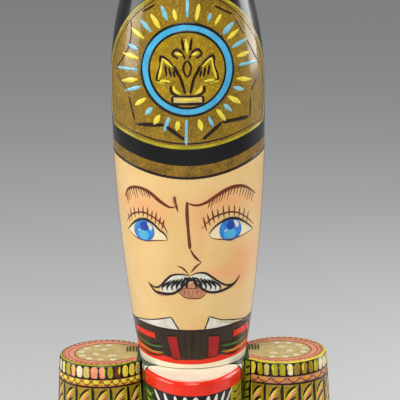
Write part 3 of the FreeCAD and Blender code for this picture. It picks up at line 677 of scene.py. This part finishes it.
for side, eye in EYES.items():
    lid, low = flow(eye["lid"]), flow(eye["low"])
    (x, z), size = eye["iris"], eye["size"]
    skin(f"{side}_eye_white", "eggshell", face, [(low, lid)], lift=0.09, cell=0.6)
    skin(f"{side}_iris", "iris_blue", face, [disc((x, z), size, 1.04)], 0.13, 0.6)
    skin(f"{side}_iris_light", "sky_blue", face, [disc((x - 0.2, z - 1.5), size * 0.52)], 0.16, 0.6)
    skin(f"{side}_pupil", "deep_blue", face, [disc((x + 0.1, z + 1.5), 1.35, 1.2)], 0.19, 0.5)
    stroke("white", face, [(x + 1.2, z + 2.9), (x + 2.1, z + 1.6), (x + 2.3, z + 0.2)],
           1.7, "lens", 0.3, 0.5)
    stroke("white", face, [(x - 2.1, z - 0.6), (x - 1.2, z + 0.3)], 0.55, "lens", 0.3)
    stroke("sienna", face, eye["low"], 0.45, "swell", 0.2)
    stroke("deep_blue", face, circle((x, z), size, 95, 265, 12, 1.04), 0.3, "swell", 0.24)
    stroke("umber", face, eye["lid"], 0.85, "swell", 0.32)
    stroke("sienna", face, eye["crease"], 0.75, "swell")
    crease = even(flow(eye["crease"]), 13)
    for cx, cz in crease[1:-2]:
        lean = (cx - x) * 0.13
        tall = brush_luck.uniform(2.0, 3.2) if side == "right" else brush_luck.uniform(2.5, 4.1)
        stroke("sienna", face, [(cx - lean * 0.5, cz - tall * 0.55),
                                        (cx + lean * 0.5, cz + tall * 0.8)], 0.65, "swell",
               straight=True)

# %% Brows and nose
BROWS = {1: [(-0.9, 59.3), (1, 58.5), (3.2, 58.4), (5.9, 59.4), (9.3, 61.5), (12.8, 63.1),
             (15.9, 63.5), (18.6, 62.8), (20.6, 61), (22, 59.4)],
         -1: [(-21.6, 59.3), (-20.6, 62), (-18.5, 63.3), (-15.7, 63.3), (-13, 62.1),
              (-10.4, 60), (-8.1, 58.4), (-6.3, 57.6), (-4.5, 58)]}
for side, brow in BROWS.items():
    stroke("sienna", face, brow, 1.3, "swell", 0.16)
    hairs = even(flow(brow), 26)
    for x, z in (hairs[8:25] if side > 0 else hairs[1:13]):
        stroke("sienna", face,
               [(x, z), (x - side * 0.9, z - brush_luck.uniform(2.4, 3.8))], 0.6, "hair",
               straight=True)
stroke("sienna", face, [(-5, 61.6), (-4.6, 59), (-3.9, 56)], 0.85, "brush")
stroke("rose_brown", face, [(-5.6, 61.4), (-5.2, 58.4)], 0.7, "lens")
stroke("sienna", face, [(-0.9, 59.6), (-0.9, 53.7), (-0.2, 43.3)], 1.1, "even")
stroke("sienna", face, [(-0.2, 43.3), (1.3, 40.6), (3.5, 38.4)], 0.85, "swell")
stroke("sienna", face, [(3.5, 38.4), (1.6, 37), (0, 35)], 0.75, "swell")
stroke("sienna", face, [(-4.7, 37.2), (-2.8, 36.6), (-0.8, 34.4)], 0.7, "swell")

# %% Moustache and lips
MOUSTACHE = [
    ([(-0.6, 32.8), (-2.6, 30.4), (-5.4, 27.8), (-8.1, 27.2), (-10.4, 27.3), (-12.2, 27.7),
      (-14.2, 30.2)],
     [(-0.4, 33.9), (-3.3, 34.4), (-6.4, 33.9), (-8.4, 32.1), (-10, 30.1), (-11.6, 29.1),
      (-13.2, 29.5), (-14.4, 30.6)]),
    ([(0.3, 32.9), (2, 30.8), (4.3, 28.6), (6.6, 27.6), (9.3, 27.6), (12, 28.3), (14.6, 29.6),
      (16.2, 31.8)],
     [(-0.1, 33.9), (2.1, 34.8), (4.7, 34.6), (7, 32.9), (9.3, 31), (11.4, 29.6),
      (13.6, 29.4), (15.1, 30.4), (16.3, 32)])]
skin("lips", "rose_brown", face,
     [(flow([(-4.2, 28), (-2.3, 26.3), (0.4, 25.8), (3.1, 26), (5.4, 27.8)]),
       flow([(-4.2, 28.1), (-1.9, 30.2), (0.8, 31.6), (3.5, 30.2), (5.4, 28.1)]))],
     lift=0.09, cell=0.6)
stroke("sienna", face, [(-4.2, 28.1), (-1.9, 29.5), (0.8, 29.2), (3.5, 29.8),
                                (5.4, 28.1)], 0.4, "swell")
stroke("sienna", face, [(-4.4, 28), (-2.3, 26.2), (0.4, 25.7), (3.1, 25.9),
                                (5.4, 27.8)], 0.5, "swell")
for x in (-2.2, -0.8, 0.6, 2.0, 3.4):
    stroke("sienna", face, [(x, 28.6), (x - 0.3, 26.7)], 0.3, "hair", straight=True)
for number, (low, high) in enumerate(MOUSTACHE):
    side = number * 2 - 1
    skin(f"moustache_{'left' if number else 'right'}", "white", face,
         [(flow(low[:5]), flow(high[:5]))], lift=0.13, cell=0.6)
    stroke("umber", face, high, 0.8, "swell", 0.25)
    stroke("umber", face, low, 1.0, "swell", 0.25)
    for hair in range(6):
        x = 0.7 + 1.6 * hair
        stroke("ink_black", face,
               [(side * x * 0.75, 33.5 - 0.25 * hair), (side * (x + 0.9), 31 - 0.3 * hair),
                (side * (x + 0.8), 29.4 - 0.25 * hair)], 1.2 - 0.09 * hair, "swell", 0.24, 0.6)
stroke("ink_black", face, [(-2.4, 33.2), (-0.2, 32.5), (1.8, 33.2)], 1.5, "lens", 0.26)
stroke("rose_brown", face, [(-13, 28.2), (-10.6, 26.6), (-7.6, 26.6)], 0.6, "swell", 0.16)
print("face painted")

# %% [markdown]
# ## Collar
# White shirt points, an olive jacket with crimson tabs, and a scarlet ring that
# hides the joint between the head and the shoulders. Each is a skin between two
# levels; the levels dip to the front as the hat's do.

# %% Jacket, ring and shirt
JACKET = {"foot": (3.1, 4.3), "top": (14.0, 1.6)}
skin("neck_cream", "cream", hat,
     [(straight_level(0.1, 88), level(1.8, 1.8, reach=88))], lift=0.08, cell=2.4)
skin("neck_ring", "scarlet", hat,
     [(level(1.6, 1.8, reach=88), level(3.3, 4.3, reach=88))], lift=0.1, cell=2.2)
skin("jacket_collar", "olive", hat,
     [(level(*JACKET["foot"], reach=86), level(*JACKET["top"], reach=86))], lift=0.1, cell=2.2)
skin("collar_back", "crimson", hat,
     [(straight_level(0.1, 274, 86), straight_level(9, 274, 86))], lift=0.1, cell=3)
SHIRT = [([(-19, 15.2), (-12, 14.6), (-4.4, 14.2)], [(-19, 15.7), (-13, 17.1), (-7, 18.8)]),
         ([(4.2, 14.2), (12, 14.5), (19.1, 14.9)], [(5.9, 18.9), (10, 17.1), (19.1, 15.2)])]
skin("shirt_points", "white", face, SHIRT, lift=0.12, cell=0.7)
for low, high in SHIRT:
    ruled("umber", face, high, 0.42, 0.2)
stroke("umber", face, [(-7, 18.8), (-4.4, 14.2)], 0.5, "even", 0.2)
stroke("umber", face, [(5.9, 18.9), (4.2, 14.2)], 0.5, "even", 0.2)
stroke("khaki", face, [(8, 17), (13, 15.6), (18, 15.2)], 0.5, "swell", 0.2)
ruled("umber", hat, level(*JACKET["top"], reach=80), 0.7, 0.2, 2.2)
TABS = [([(-7.0, 3.6), (-3.8, 3.4)], [(-8.7, 11.7), (-5.2, 12)]),
        ([(5.1, 3.6), (8.6, 4.2)], [(5.3, 11.8), (9.3, 11.4)])]
skin("jacket_tabs", "crimson", face, TABS, lift=0.15, cell=0.8)
SLASHES = [([(-19.2, 10.6), (-12.2, 9.9)], [(-19.2, 13.0), (-12.6, 12.3)]),
           ([(13.6, 9.7), (19.2, 10.4)], [(13.9, 12.3), (19.2, 13.2)])]
skin("jacket_slashes", "scarlet", face, SLASHES, lift=0.15, cell=0.8)
for low, high in TABS + SLASHES:
    for points in (high, (low[0], high[0]), (low[1], high[1]), low):
        ruled("umber", face, points, 0.5, 0.22)
stroke("ink_black", face, [(0, 14), (0.1, 9), (-0.2, 3.4)], 0.8, "even", 0.22)
stroke("ink_black", face, [(-2.6, 13), (-2.3, 3.6)], 0.4, "swell", 0.2)
stroke("ink_black", face, [(3.0, 13), (2.9, 3.6)], 0.4, "swell", 0.2)
for side in (1, -1):
    for number, colour in enumerate(("umber", "grass_green", "umber",
                                     "leaf_yellow", "umber")):
        up = 9.3 - 1.1 * number
        stroke(colour, face, [(side * 18.3, up + 0.2), (side * 14, up - 0.9),
                              (side * 9.8, up - 0.6)], 0.8 if number % 2 == 0 else 0.55,
               "swell", 0.2)
print("collar painted")

# %% [markdown]
# ## The jaw
# The jaw rides on its own body, so everything painted on it does too. Its top
# is a cream ledge, its rim a scarlet lower lip, and its front a black beard
# with white strands that run together below, between the coat's two fronts.

# %% Ledge, lip and beard
jaw = round_canvas("jaw_block", (0, JAW_BACK - 0.0006), SHOULDER)
jaw_top = top_canvas("jaw_block", (0, 0))
JAW_TURN = 86
rim = []
for step in range(41):
    turn = -JAW_TURN + 2 * JAW_TURN * step / 40
    spot, outward = jaw(turn, -3.5)
    inset = 1 - 0.9 / (math.hypot(spot.x, spot.y - JAW_BACK) / MM)
    rim.append((spot.x / MM * inset, -(JAW_BACK + (spot.y - JAW_BACK) * inset) / MM))
ledge_back = [(rim[0][0], -JAW_BACK / MM + 0.3), (rim[-1][0], -JAW_BACK / MM + 0.3)]
skin("jaw_ledge", "cream", jaw_top, [(ledge_back, rim)], lift=0.14, cell=0.6, body="jaw_lever")


def jaw_level(down):
    return straight_level(-down, JAW_TURN)


skin("lower_lip", "scarlet", jaw, [(jaw_level(5.2), jaw_level(0.42))], lift=0.16,
     cell=0.5,
     body="jaw_lever")
jaw_face = front_canvas("jaw_block", SHOULDER)
STRANDS = [(-13, 0.9), (-9.8, 1.1), (-6.2, 1.2), (-2.8, 1.3), (0.9, 2.0), (5.2, 1.4), (8.0, 1.2),
           (10.6, 0.9), (13, 0.8)]
for across, width in STRANDS:
    stroke("white", jaw_face,
           [(across, -5.7), (across * 0.8, -11), (across * 0.45, -17),
            (across * 0.2, -20.5)], width * 1.3, "brush", body="jaw_lever")
COAT_FRONTS = ((-1, "coat_green", "grass_green"),
               (1, "leaf_yellow", "umber"))
for side, finish, mark in COAT_FRONTS:
    skin(f"coat_front_{'left' if side > 0 else 'right'}", finish, jaw,
         [([(side * 57, -5.1), (side * 48, -21)], [(side * 88, -5.1), (side * 88, -21)])],
         lift=0.08, cell=1.6, body="jaw_lever")
    for number in range(6):
        up = -6.6 - 2.55 * number
        stroke(mark, jaw,
               [(side * 84, up), (side * 70, up - 1.4), (side * (61 - number), up - 0.4)],
               0.7, "swell", 0.16, 1.6, body="jaw_lever")
        stroke("yellow", jaw, [(side * 80, up - 1.0), (side * 68, up - 2.2)], 0.7, "lens",
               0.16, 1.6, body="jaw_lever")
mouth = front_canvas("torso", SHOULDER)
for side, hand in reversed(HANDS):
    for name, finish, low, high in (("lip_corner", "scarlet", -6, -1.9),
                                    ("mouth_corner", "cream", -1.9, -0.2)):
        skin(f"{hand}_{name}", finish, mouth,
             [tuple([(side * 15.5, up), (side * 17.3, up)] for up in (low, high))], cell=0.9)
print("jaw painted")

# %% [markdown]
# ## Epaulettes
# The arms end in flat round shoulders painted as gold epaulettes. Round the
# wall runs a row of short bars, under it a scalloped rope, and under that the
# long bullion fringe in panels. All three repeat at a fixed pitch, so they are
# loops over an angle; the slant, the width and the tone are left to the
# painter's luck.

# %% Bars, rope and fringe
ARM_FLAT = 58                # degrees inwards from the front at which the arm meets the torso
ARM_END = 180 + ARM_FLAT
EDGE = {1: -45, -1: -54}     # where the gold starts on each arm; inside it the coat shows
BAR_TONES = {-1: ("khaki", "yellow", "sienna", "khaki",
                  "leaf_yellow", "salmon", "eggshell"),
             1: ("yellow", "old_gold", "khaki", "yellow",
                 "eggshell", "leaf_yellow")}


for side, hand in HANDS:
    arm = round_canvas(f"{hand}_arm", ARM_AXIS[side], SHOULDER, side)
    edge = EDGE[side]
    span = ARM_END - 2 - edge
    inner_finish, inner_mark = next((finish, mark) for face_side, finish, mark in COAT_FRONTS
                                    if face_side == side)
    skin(f"{hand}_arm_front", inner_finish, arm, [belt_of(-24.6, -0.9, edge, -ARM_FLAT + 2)],
         cell=2.6)
    for row in range(8):
        stroke(inner_mark, arm, [(-ARM_FLAT + 4, -3.5 - 2.7 * row), (edge - 1, -2.2 - 2.7 * row)],
               0.8, "swell", cell=2, straight=True)
    stroke("ink_black", arm, [(edge, -0.9), (edge + 1, -24.4)], 0.9, "even", 0.18, 2)
    skin(f"{hand}_bar_ground", "umber", arm, [belt_of(-4.7, -0.9, ARM_END - 2, edge)],
         lift=0.05, cell=2.6)
    bars = 29
    for bar in range(bars):
        turn = edge + 4 + (span - 8) * bar / (bars - 1)
        lean = brush_luck.uniform(-1.5, 1.5)
        ruled(brush_luck.choice(BAR_TONES[side]), arm, [(turn, -0.5), (turn + lean, -4.6)],
              brush_luck.uniform(1.9, 2.6))
        if bar % 2:
            stroke("yellow", arm, [(turn - 2, -0.8), (turn - 2 + lean, -3.4)],
                   brush_luck.uniform(0.4, 0.8), "brush", 0.2, straight=True)
    skin(f"{hand}_rope", "orange" if side < 0 else "rose_brown", arm,
         [belt_of(-7.4, -4.7, ARM_END - 2, edge)], lift=0.12, cell=2.6)
    turn = edge + 6
    while turn < ARM_END - 8:
        wide = brush_luck.uniform(10, 14) if side < 0 else brush_luck.uniform(14, 19)
        stroke("yellow" if side < 0 else "orange", arm,
               [(turn - wide * 0.42, -6.6), (turn, -5.7), (turn + wide * 0.42, -6.6)],
               1.6 if side < 0 else 1.1, "lens", 0.22, 2)
        stroke("sienna", arm, [(turn - wide * 0.5, -5.3), (turn, -7.0),
                                       (turn + wide * 0.5, -5.3)], 0.4, "even", 0.24, 2)
        turn += wide
    for up, width in ((-4.7, 0.6), (-7.5, 0.7)):
        ruled("umber", arm, straight_level(up, ARM_END - 2, edge), width, 0.22, 2.6)
    skin(f"{hand}_fringe", "old_gold", arm, [belt_of(-24.6, -7.6, ARM_END - 2, edge)],
         lift=0.06, cell=2.6)
    panels = 13
    for panel in range(panels):
        pitch = span / panels
        turn = edge + pitch * (panel + 0.5)
        stroke("ink_black", arm, [(turn - pitch / 2, -7.6), (turn - pitch / 2 + 1, -24.4)],
               1.3, "brush", 0.18, 2, straight=True)
        stroke("leaf_yellow", arm, [(turn - pitch * 0.4, -8.2),
                                            (turn - pitch * 0.36, -23.6)], 0.8, "swell", 0.18, 2)
        for row in range(4):
            up = -9.4 - 3.9 * row
            slant = brush_luck.uniform(0.24, 0.34) * pitch * side
            for shift, tone, width in ((0, "ink_black", 0.9),
                                       (1.3, "yellow", 0.8),
                                       (2.5, "salmon", 0.8)):
                stroke(tone, arm, [(turn - slant, up - 2.6 - shift), (turn, up - shift * 0.9),
                                   (turn + slant, up + 1.2 - shift * 0.8)],
                       width, "lens", 0.16, 2)
    for row in range(40):
        turn = edge + 3 + (span - 6) * row / 39
        stroke("yellow", arm, [(turn, -22.2), (turn, -24.6)], 0.6, "brush", 0.2, straight=True)
print("fringes painted")

# %% Shoulder tops
NECK_SIDE = -11.6            # how far in from the arm's axis the top is painted
for side, hand in HANDS:
    top = top_canvas(f"{hand}_arm", ARM_AXIS[side], side)

    def hoop(radius, inner=NECK_SIDE, count=32):
        """A U that is open to the neck: its sides keep their distance from the arm's edge."""
        sides = [(out, math.sqrt(15.2 ** 2 - out ** 2) - 0.93 * (15.2 - radius))
                 for out in (inner, inner * 0.66, inner * 0.33)]
        bend = [(radius * math.sin(math.radians(a)), radius * math.cos(math.radians(a)))
                for a in [180 * i / count for i in range(count + 1)]]
        return sides + bend + [(out, -ahead) for out, ahead in reversed(sides)]

    outer, inner = even(hoop(14.6), 60), even(hoop(10.4), 60)
    skin(f"{hand}_shoulder_field", "khaki", top,
         [(even(inner[:30], 30), even(inner[30:][::-1], 30))], lift=0.05)
    skin(f"{hand}_shoulder_border", "salmon", top, [(inner, outer)], lift=0.07)
    ruled("sienna", top, hoop(10.4), 0.4, 0.16)
    ruled("sienna", top, hoop(12.6), 0.3, 0.16)
    ruled("yellow" if side > 0 else "leaf_yellow", top, hoop(15.0), 1.1 if side > 0 else 0.8, 0.18)
    for (u, v), (p, q) in zip(even(hoop(13.4), 34), even(hoop(14.9), 34)):
        stroke("umber", top, [(p, q), (u, v)], brush_luck.uniform(0.4, 0.8), "hair",
               0.2, straight=True)
    for radius, count, wide in ((8.0, 8, 3.7), (3.4, 3, 3.0)):
        dabs = even(hoop(radius, inner=-4.5), count * 2 + 1)
        for one, two in list(zip(dabs, dabs[1:]))[::2]:
            stroke("eggshell", top, [one, two], wide, "lens", 0.17, 0.5, straight=True)
            stroke("sienna", top, [(one[0] * 0.86, one[1] * 0.82),
                                           (two[0] * 0.86, two[1] * 0.82)], 0.5, "swell", 0.14,
                   straight=True)
    skin(f"{hand}_neck_square", "leaf_yellow", top,
         [([(NECK_SIDE, -6.4), (NECK_SIDE, -0.6)], [(-8.0, -6.4), (-8.0, -0.6)])], lift=0.1)
    for line in range(4):
        out = NECK_SIDE + 0.4 + 1.1 * line
        ruled("ink_black", top, [(out, -6.6), (out, -0.4)], 0.5, 0.2)
print("shoulders painted")

# %% [markdown]
# ## Coat, gloves, boots and base
# Below the shoulders the figure is dressed to match: a green coat with a
# crimson front, gold braid and a white belt, crimson cuffs, white gloves and
# breeches, black boots, and a green base with a crimson band. Each is a level
# band or a repeated stroke on the canvas of its piece.

# %% Coat front, belt and hem
coat = round_canvas("torso", (0, 0), 0)
skirt = round_canvas("coat_skirt", (0, 0), 0)


skin("coat_plastron", "crimson", coat,
     [([(-20, 97.5), (20, 97.5)], [(-30, 117), (30, 117)])], cell=1.6)
for side in (-1, 1):
    ruled("leaf_yellow", coat, [(side * 20, 97.5), (side * 30, 117)], 1.2, 0.2, 1.6)
for row in range(5):
    up = 99.5 + 4.1 * row
    reach = 15 + 1.7 * row
    stroke("yellow", coat, [(-reach, up + 1.6), (0, up), (reach, up + 1.6)], 1.1, "even", 0.2, 1.6)
    for side in (-1, 1):
        stroke("old_gold", coat, [(side * (reach - 1.2), up + 1.5),
                                         (side * (reach + 1.4), up + 1.9)], 2.4, "lens", 0.3, 0.5)
BELT_FOOT, BELT_TOP, BELT_END = 91, 96.4, 152     # mm, mm, and degrees to the lever's slot
skin("belt", "white", coat, [belt_of(BELT_FOOT, BELT_TOP, BELT_END)], lift=0.1, cell=2.4)
skin("belt_buckle", "old_gold", coat, [belt_of(90.6, 96.8, 11)], lift=0.25, cell=1)
stroke("umber", coat, [(-7, 91.8), (7, 91.8), (7, 95.6), (-7, 95.6)], 0.6, closed=True,
       straight=True, lift=0.34)
for up in (BELT_FOOT, BELT_TOP):
    ruled("umber", coat, straight_level(up, BELT_END), 0.4, 0.16, 2.4)
for turn in (-70, -45, 45, 70):
    stroke("leaf_yellow", coat, [(turn, 98.5), (turn, 124)], 0.7, "even", cell=1.2)
skin("coat_turnback", "crimson", skirt,
     [([(-24, 72.8), (24, 72.8)], [(-6, 89.4), (6, 89.4)])], cell=1.6)
for side in (-1, 1):
    ruled("leaf_yellow", skirt, [(side * 24, 72.8), (side * 6, 89.4)], 1.1, 0.2, 1.6)
stroke("ink_black", skirt, [(0, 73), (0, 89)], 0.7, "even", 0.2)
skin("coat_hem", "old_gold", skirt, [belt_of(72.6, 75, 335, 25)], lift=0.1, cell=2.4)
print("coat painted")

# %% Cuffs and gloves
CUFF = (-52, -43)            # its foot and top, mm below the shoulder
for side, hand in HANDS:
    arm = round_canvas(f"{hand}_arm", ARM_AXIS[side], SHOULDER, side)
    start, end = -ARM_FLAT + 3, ARM_END - 3
    skin(f"{hand}_cuff", "crimson", arm, [belt_of(*CUFF, end, start)], lift=0.1, cell=2.4)
    for up in CUFF:
        ruled("leaf_yellow", arm, straight_level(up, end, start), 1.0, 0.22, 2.4)
    for button in range(3):
        stroke("old_gold", arm, [(100 + 14 * button, -46.3), (100 + 14 * button, -48.8)],
               2.4, "lens", 0.3, 0.5)
    glove = round_canvas(f"{hand}_hand", ARM_AXIS[side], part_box(f"{hand}_hand")[0].z, side)
    for turn in (-24, 0, 24, 48):
        stroke("umber", glove, [(turn, 2.6), (turn + 2, 6), (turn, 9.5)], 0.45, "swell", 0.12)
    ruled("khaki", glove, straight_level(12.4, 176), 0.7, 0.14, 6)

# %% Breeches, boots and base
for side, leg in HANDS:
    low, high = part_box(f"{leg}_leg")
    shin = round_canvas(f"{leg}_leg", ((low.x + high.x) / 2, (low.y + high.y) / 2), 0, side)
    skin(f"{leg}_breeches", "cream", shin, [belt_of(44.4, 71.6, 180)], cell=5)
    stroke("old_gold", shin, straight_level(41.8, 180)[:-1], 1.2, closed=True,
           straight=True, cell=6, lift=0.2)
    stroke("old_gold", shin, [(84, 46), (84, 70)], 1.0, "even")
    for fold in range(5):
        stroke("khaki", shin, [(-60 + 22 * fold, 46), (-54 + 22 * fold, 50)], 0.7, "hair")
foot = round_canvas("base", (0, 0), 0)
skin("base_band", "crimson", foot, [belt_of(4, 8.6, 180)], cell=4)
for up in (3.2, 9.4):
    stroke("leaf_yellow", foot, straight_level(up, 180)[:-1], 0.9, closed=True,
           straight=True, cell=4, lift=0.16)
print("legs and base painted")

# %% Back of the hat and the lever
for turn in (112, 180, 248):
    stroke("old_gold", hat, [(turn, 84), (turn, 108), (turn, 136)], 1.3, "even", cell=1.4)
handle = front_canvas("lever", 0, -1)
lever_low, lever_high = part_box("lever")
edge = (lever_high.x - lever_low.x) / 2 / MM - 1.4
for across in (-edge, edge):
    stroke("old_gold", handle, [(across, lever_low.z / MM + 3), (across, 118),
                                       (across, 132)], 0.8, "even", cell=1.4, body="jaw_lever")

# %% [markdown]
# ## From strokes to pieces
# All strokes of one paint on one body become one piece. Their points go into a
# mesh of loose lines, the tree turns them into ribbons, and the result is kept
# as a plain mesh.

# %% Bake the strokes
def ribbons(finish, body, marks_list):
    """One plain mesh piece for every stroke of a paint on a body."""
    spots, edges, outward, widths = [], [], [], []
    for marks, closed in marks_list:
        first = len(spots)
        for spot, out, half in marks:
            spots.append(spot)
            outward.extend(out)
            widths.append(half)
        edges += [(first + i, first + i + 1) for i in range(len(marks) - 1)]
        if closed:
            edges.append((len(spots) - 1, first))
    lines = bpy.data.meshes.new("lines")
    lines.from_pydata(spots, edges, [])
    lines.attributes.new("outward", "FLOAT_VECTOR", "POINT").data.foreach_set("vector", outward)
    lines.attributes.new("half_width", "FLOAT", "POINT").data.foreach_set("value", widths)
    draft = put("draft", lines)
    brush = draft.modifiers.new("brush", "NODES")
    brush.node_group = STROKE_TREE
    inputs = {item.name: item.identifier for item in STROKE_TREE.interface.items_tree
              if item.in_out == "INPUT"}
    brush[inputs["Paint thickness"]] = BEAD * MM
    brush[inputs["Bead sides"]] = 8
    brush[inputs["Finish"]] = FINISHES[finish]
    evaluated = draft.evaluated_get(bpy.context.evaluated_depsgraph_get())
    mesh = bpy.data.meshes.new_from_object(evaluated)
    piece = put(f"{body}_{FINISHES[finish].name}_lines", mesh)
    bpy.data.objects.remove(draft)
    return settle(piece, body)


for (body, finish), marks_list in sorted(STROKES.items()):
    piece = ribbons(finish, body, marks_list)
    print(piece.name, len(marks_list), "strokes,", len(piece.data.polygons), "faces")

# %% [markdown]
# ## The bare pieces
# The CAD pieces keep their shapes and get their ground coats. The dowels and
# the pin are bare beech, fine-grained and warm; the screws are zinc-plated
# steel, a metal with a faint blue cast and a slightly clouded surface.

# %% Beech and steel
def make_beech():
    tree, shader, place = fresh("bare_beech")
    # beech rays are about 0.5 mm wide and several millimetres long
    grain = add(tree, "ShaderNodeMapping", {"Vector": place, "Scale": (1600.0, 1600.0, 160.0)})
    fibres = add(tree, "ShaderNodeTexNoise", {"Vector": grain.outputs["Vector"], "Scale": 1.0,
                                              "Detail": 5.0})
    tone = blend(tree, fibres.outputs["Fac"], "d9b184", "b98a5a")
    relief = add(tree, "ShaderNodeBump", {"Height": fibres.outputs["Fac"], "Strength": 0.3,
                                          "Distance": 0.00005})
    tree.links.new(tone, shader.inputs["Base Color"])
    tree.links.new(relief.outputs["Normal"], shader.inputs["Normal"])
    shader.inputs["Roughness"].default_value = 0.6


def make_zinc():
    tree, shader, place = fresh("zinc_plated_steel")
    bloom = add(tree, "ShaderNodeTexNoise", {"Vector": place, "Scale": 1000 / 1.5, "Detail": 3.0})
    tone = blend(tree, bloom.outputs["Fac"], "c3c7cc", "a4a9b0")
    rough = add(tree, "ShaderNodeMapRange", {"Value": bloom.outputs["Fac"], "To Min": 0.25,
                                             "To Max": 0.42})
    tree.links.new(tone, shader.inputs["Base Color"])
    tree.links.new(rough.outputs["Result"], shader.inputs["Roughness"])
    shader.inputs["Metallic"].default_value = 1.0


make_beech()
make_zinc()
GROUND_COATS = {
    "hat_black": ("head", "jaw_block", "left_leg", "right_leg", "left_toe",
                          "right_toe", "lever"),
    "coat_green": ("torso", "coat_skirt", "left_arm", "right_arm", "base"),
    "white": ("left_hand", "right_hand"),
    "zinc_plated_steel": ("base_screws",),
}
for name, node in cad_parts.items():
    ground = next((coat for coat, names in GROUND_COATS.items() if name in names), "bare_beech")
    for place in node.material_slots:
        place.material = FINISHES[ground]
print("ground coats on", len(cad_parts), "pieces")

# %% [markdown]
# ## Camera and light
# The camera stands low in front and looks slightly down, with a long lens, and
# is turned by one degree. Two small soft boxes beside the figure draw the pale
# bands on the shoulders of the hat; a broad one in front lights the face.

# %% Camera
LOOK = Vector((0.0034, 0, 0.2116))
CAMERA_PITCH, CAMERA_REACH, CAMERA_ROLL = math.radians(12.6), 0.64, math.radians(-1.0)
camera = put("camera", bpy.data.cameras.new("camera"))
stand = LOOK + CAMERA_REACH * Vector((0, -math.cos(CAMERA_PITCH), math.sin(CAMERA_PITCH)))
aim = (LOOK - stand).to_track_quat("-Z", "Y").to_matrix().to_4x4()
camera.matrix_world = Matrix.Translation(stand) @ aim @ Matrix.Rotation(CAMERA_ROLL, 4, "Z")
camera.data.lens = 168
bpy.context.scene.camera = camera


# %% Lights, floor and world
LAMP_TARGET = Vector((0, 0, 0.2))      # the face


def soft_box(name, place, size, tall, watts):
    """An area lamp that faces the figure's head."""
    lamp = bpy.data.lights.new(name, "AREA")
    lamp.shape, lamp.size, lamp.size_y, lamp.energy = "RECTANGLE", size, tall, watts
    holder = put(name, lamp)
    holder.location = place
    toward = LAMP_TARGET - holder.location
    holder.rotation_euler = toward.to_track_quat("-Z", "Y").to_euler()


soft_box("front_box", (-0.1, -1.0, 1.35), 1.0, 0.8, 21)
soft_box("left_box", (-0.8, 0.04, 0.38), 0.42, 0.36, 3.2)
soft_box("right_box", (0.7, 0.35, 0.36), 0.34, 0.36, 3.2)

floor_mesh = bpy.data.meshes.new("floor")
work = bmesh.new()
bmesh.ops.create_grid(work, x_segments=8, y_segments=8, size=6)
work.to_mesh(floor_mesh)
work.free()
floor = put("floor", floor_mesh)
paper, shader, place = fresh("pale_paper")
fibre = add(paper, "ShaderNodeTexNoise", {"Vector": place, "Scale": 3.0})
paper.links.new(blend(paper, fibre.outputs["Fac"], "d8d8d6", "d2d2d0"),
                shader.inputs["Base Color"])
shader.inputs["Roughness"].default_value = 0.9
floor_mesh.materials.append(FINISHES["pale_paper"])

world = bpy.data.worlds.new("studio")
world.use_nodes = True
world.node_tree.nodes["Background"].inputs["Color"].default_value = tint("d0d2d6")
world.node_tree.nodes["Background"].inputs["Strength"].default_value = 0.4
bpy.context.scene.world = world
bpy.context.scene.view_settings.view_transform = "Standard"
